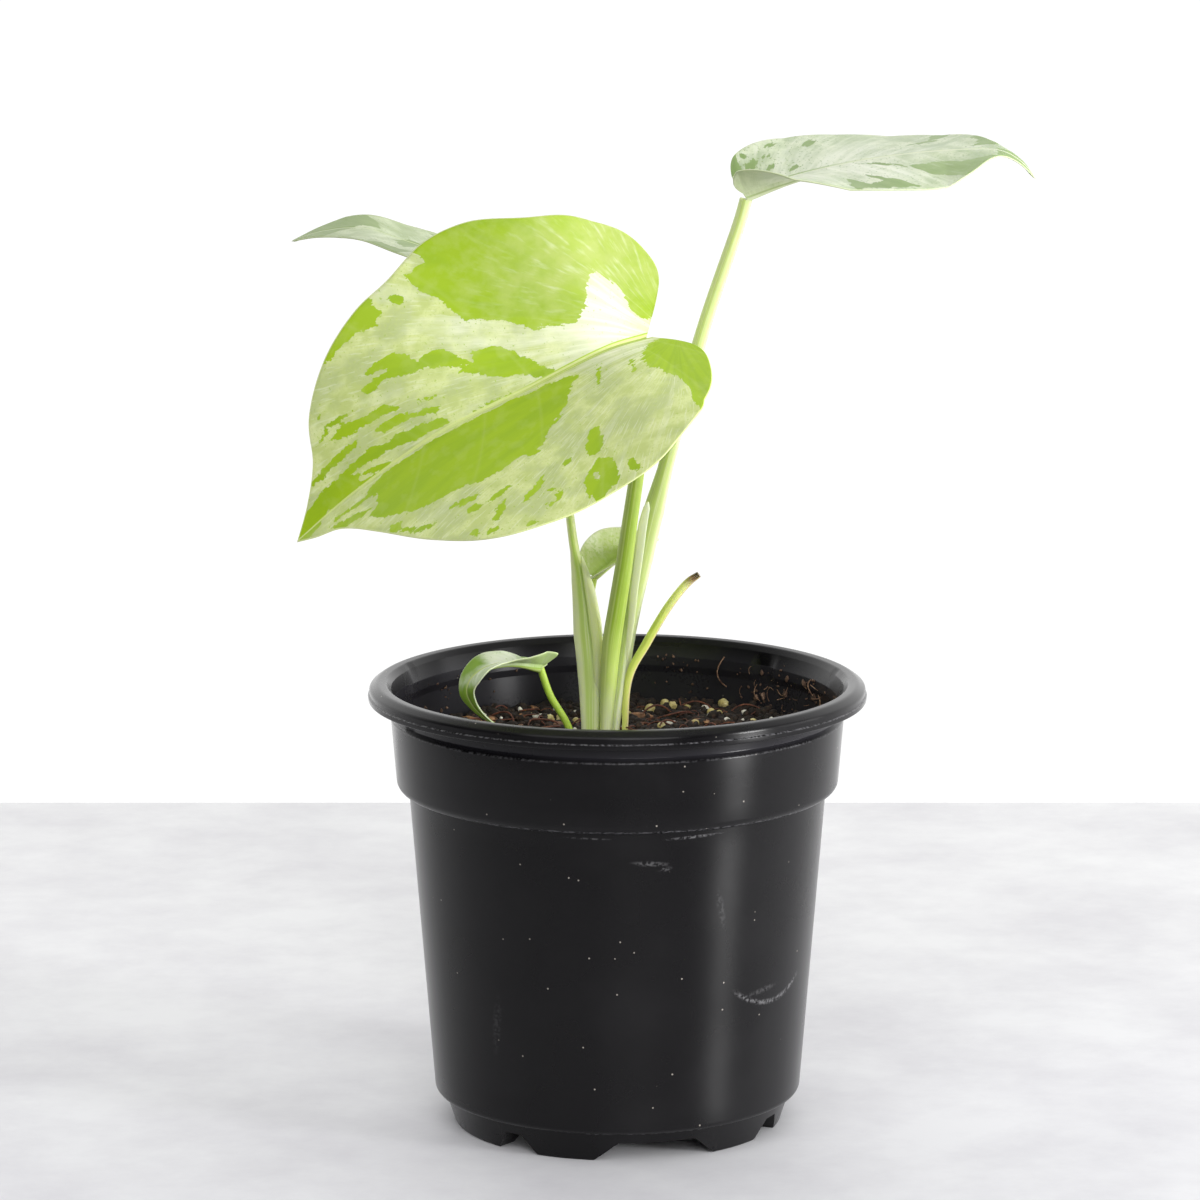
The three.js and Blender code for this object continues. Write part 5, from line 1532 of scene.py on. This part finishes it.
# Stalk stub. What is left of an old leaf: a thin green stalk whose blade has dropped, with a dried
# brown end. It grows from the buried stem like the others.
stub = {
    "points": [
        (1.9, 0, STALK_FOOT), (1.7, 0, COLLAR), (2.6, -0.1, 100.2), (6.5, -0.6, 107.9),
        (11.5, -1.2, 116.5), (15.6, -1.4, 121.6), (17.9, -1.5, 123.3),
    ],
    "width": [0.6, 0.7, 0.9, 1, 0.95, 0.9, 0.7],
}
stub_skin = stalk_skin(
    "ageing_stalk_skin",
    [(0, "#dbe0ae"), (16, "#ced676"), (40, "#c4d562"), (51, "#d9df94"), (53.4, "#7a5a3c"),
     (54.4, "#3f2a20")],
    "#e4e7a4",
    [(335, 38, "#e2cca2", 0.7)],
)
grow_stalk("old_stalk", stub, stub_skin, "stalk_stub", 24, "stalk")


# Stage. A pale stone-grey table that ends about 30 cm behind the pot, in front of plain white, with a
# softly lit room round it and four softboxes in front and at the right.
TABLE_BACK, TABLE_FRONT, TABLE_SIDE = 310, -250, 1500
table_corners = [
    (-TABLE_SIDE, TABLE_FRONT, 0), (TABLE_SIDE, TABLE_FRONT, 0), (TABLE_SIDE, TABLE_BACK, 0),
    (-TABLE_SIDE, TABLE_BACK, 0),
]
floor = shaped("floor", table_corners, [(0, 1, 2, 3)])

# Honed stone: dull and faintly clouded, with painted shade that darkens it a little towards the viewer
CLOUD_BREADTH = 50
table_top, tree, shader = finish_of("pale_table_top")
spot = add(tree, "ShaderNodeTexCoord").outputs["Object"]
cloud = add(tree, "ShaderNodeTexNoise", None,
            {"Vector": spot, "Scale": 1 / (CLOUD_BREADTH * MM), "Detail": 10.0, "Roughness": 0.66})
stone = add(tree, "ShaderNodeValToRGB", None, {"Fac": cloud}, [(0.34, "#e0dfe2"), (0.62, "#f0f0f1")])
depth = add(tree, "ShaderNodeSeparateXYZ", None, {0: spot}).outputs[1]
# Painted shade: the near part of the table is darkened
nearer = add(tree, "ShaderNodeMapRange", SOFT_STEP, {"Value": depth, "From Min": 0.27, "From Max": -0.12})
shaded = add(tree, "ShaderNodeMixRGB", {"blend_type": "MULTIPLY"},
             {"Fac": nearer, "Color1": stone, "Color2": "#efeff1"})
tree.links.new(shaded.outputs[0], shader.inputs["Base Color"])
shader.inputs["Roughness"].default_value = 0.6
floor.data.materials.append(table_top)

# White studio: the camera sees plain white behind the table, and the room lights the plant softly from
# above and behind, and is dim in front
world = bpy.data.worlds.new("studio")
bpy.context.scene.world = world
world.use_nodes = True
tree = world.node_tree
tree.nodes.clear()
direction = add(tree, "ShaderNodeTexCoord").outputs["Generated"]
parts = add(tree, "ShaderNodeSeparateXYZ", None, {0: direction})
from_behind = add(tree, "ShaderNodeMapRange", SOFT_STEP,
                  {"Value": parts.outputs[1], "From Min": -0.1, "From Max": 0.75, "To Min": 0.06,
                   "To Max": 1.35})
from_above = add(tree, "ShaderNodeMapRange", SOFT_STEP,
                 {"Value": parts.outputs[2], "From Min": 0.3, "From Max": 0.95, "To Max": 0.65})
glow_of_room = add(tree, "ShaderNodeMath", {"operation": "MAXIMUM"}, {0: from_behind, 1: from_above})
lit = add(tree, "ShaderNodeBackground", None, {"Color": "#ffffff", "Strength": glow_of_room})
seen = add(tree, "ShaderNodeBackground", None, {"Color": "#ffffff", "Strength": 1.05})
camera_ray = add(tree, "ShaderNodeLightPath").outputs["Is Camera Ray"]
mixed = add(tree, "ShaderNodeMixShader", None, {0: camera_ray, 1: lit, 2: seen})
add(tree, "ShaderNodeOutputWorld", None, {0: mixed})


def softbox(name, place, aim, width, height, watts):
    """A rectangular studio light, turned towards a point."""
    lamp = bpy.data.lights.new(name, "AREA")
    lamp.shape = "RECTANGLE"
    lamp.size, lamp.size_y = width, height
    lamp.energy = watts
    made = bpy.data.objects.new(name, lamp)
    made.location = place
    made.rotation_euler = (Vector(aim) - Vector(place)).to_track_quat("-Z", "Y").to_euler()
    bpy.context.scene.collection.objects.link(made)


PLANT_MIDDLE, POT_RIM = (0, 0, 0.13), (0, 0, 0.1)
softbox("key_light", (-0.5, -1.45, 1.25), PLANT_MIDDLE, 1.6, 1.2, 12)
softbox("fill_light", (0.4, -1.7, 0.82), PLANT_MIDDLE, 0.9, 0.8, 12)
softbox("side_light", (1.19, -0.63, 0.2), POT_RIM, 0.28, 0.38, 18)
softbox("right_light", (1.35, 0.05, 0.4), POT_RIM, 0.7, 0.7, 4)

# Camera at the photograph's viewing angle, with the pot's axis at its column in the photograph
FRAME_PIXELS = 1200
FOCAL_PIXELS = 5556
AXIS_PIXEL = 617.4
CAMERA_AWAY, CAMERA_UP = 1.2, 0.3486
LOOK_DOWN = 10.91
camera_lens = bpy.data.cameras.new("camera")
camera_lens.sensor_width = 36
camera_lens.lens = FOCAL_PIXELS / FRAME_PIXELS * camera_lens.sensor_width
camera_lens.shift_x = -(AXIS_PIXEL - FRAME_PIXELS / 2) / FRAME_PIXELS
camera_lens.clip_start, camera_lens.clip_end = 0.05, 20
camera = bpy.data.objects.new("camera", camera_lens)
camera.location = (0, -CAMERA_AWAY, CAMERA_UP)
camera.rotation_euler = (math.radians(90 - LOOK_DOWN), 0, 0)
bpy.context.scene.collection.objects.link(camera)
bpy.context.scene.camera = camera
bpy.context.scene.view_settings.view_transform = "Standard"
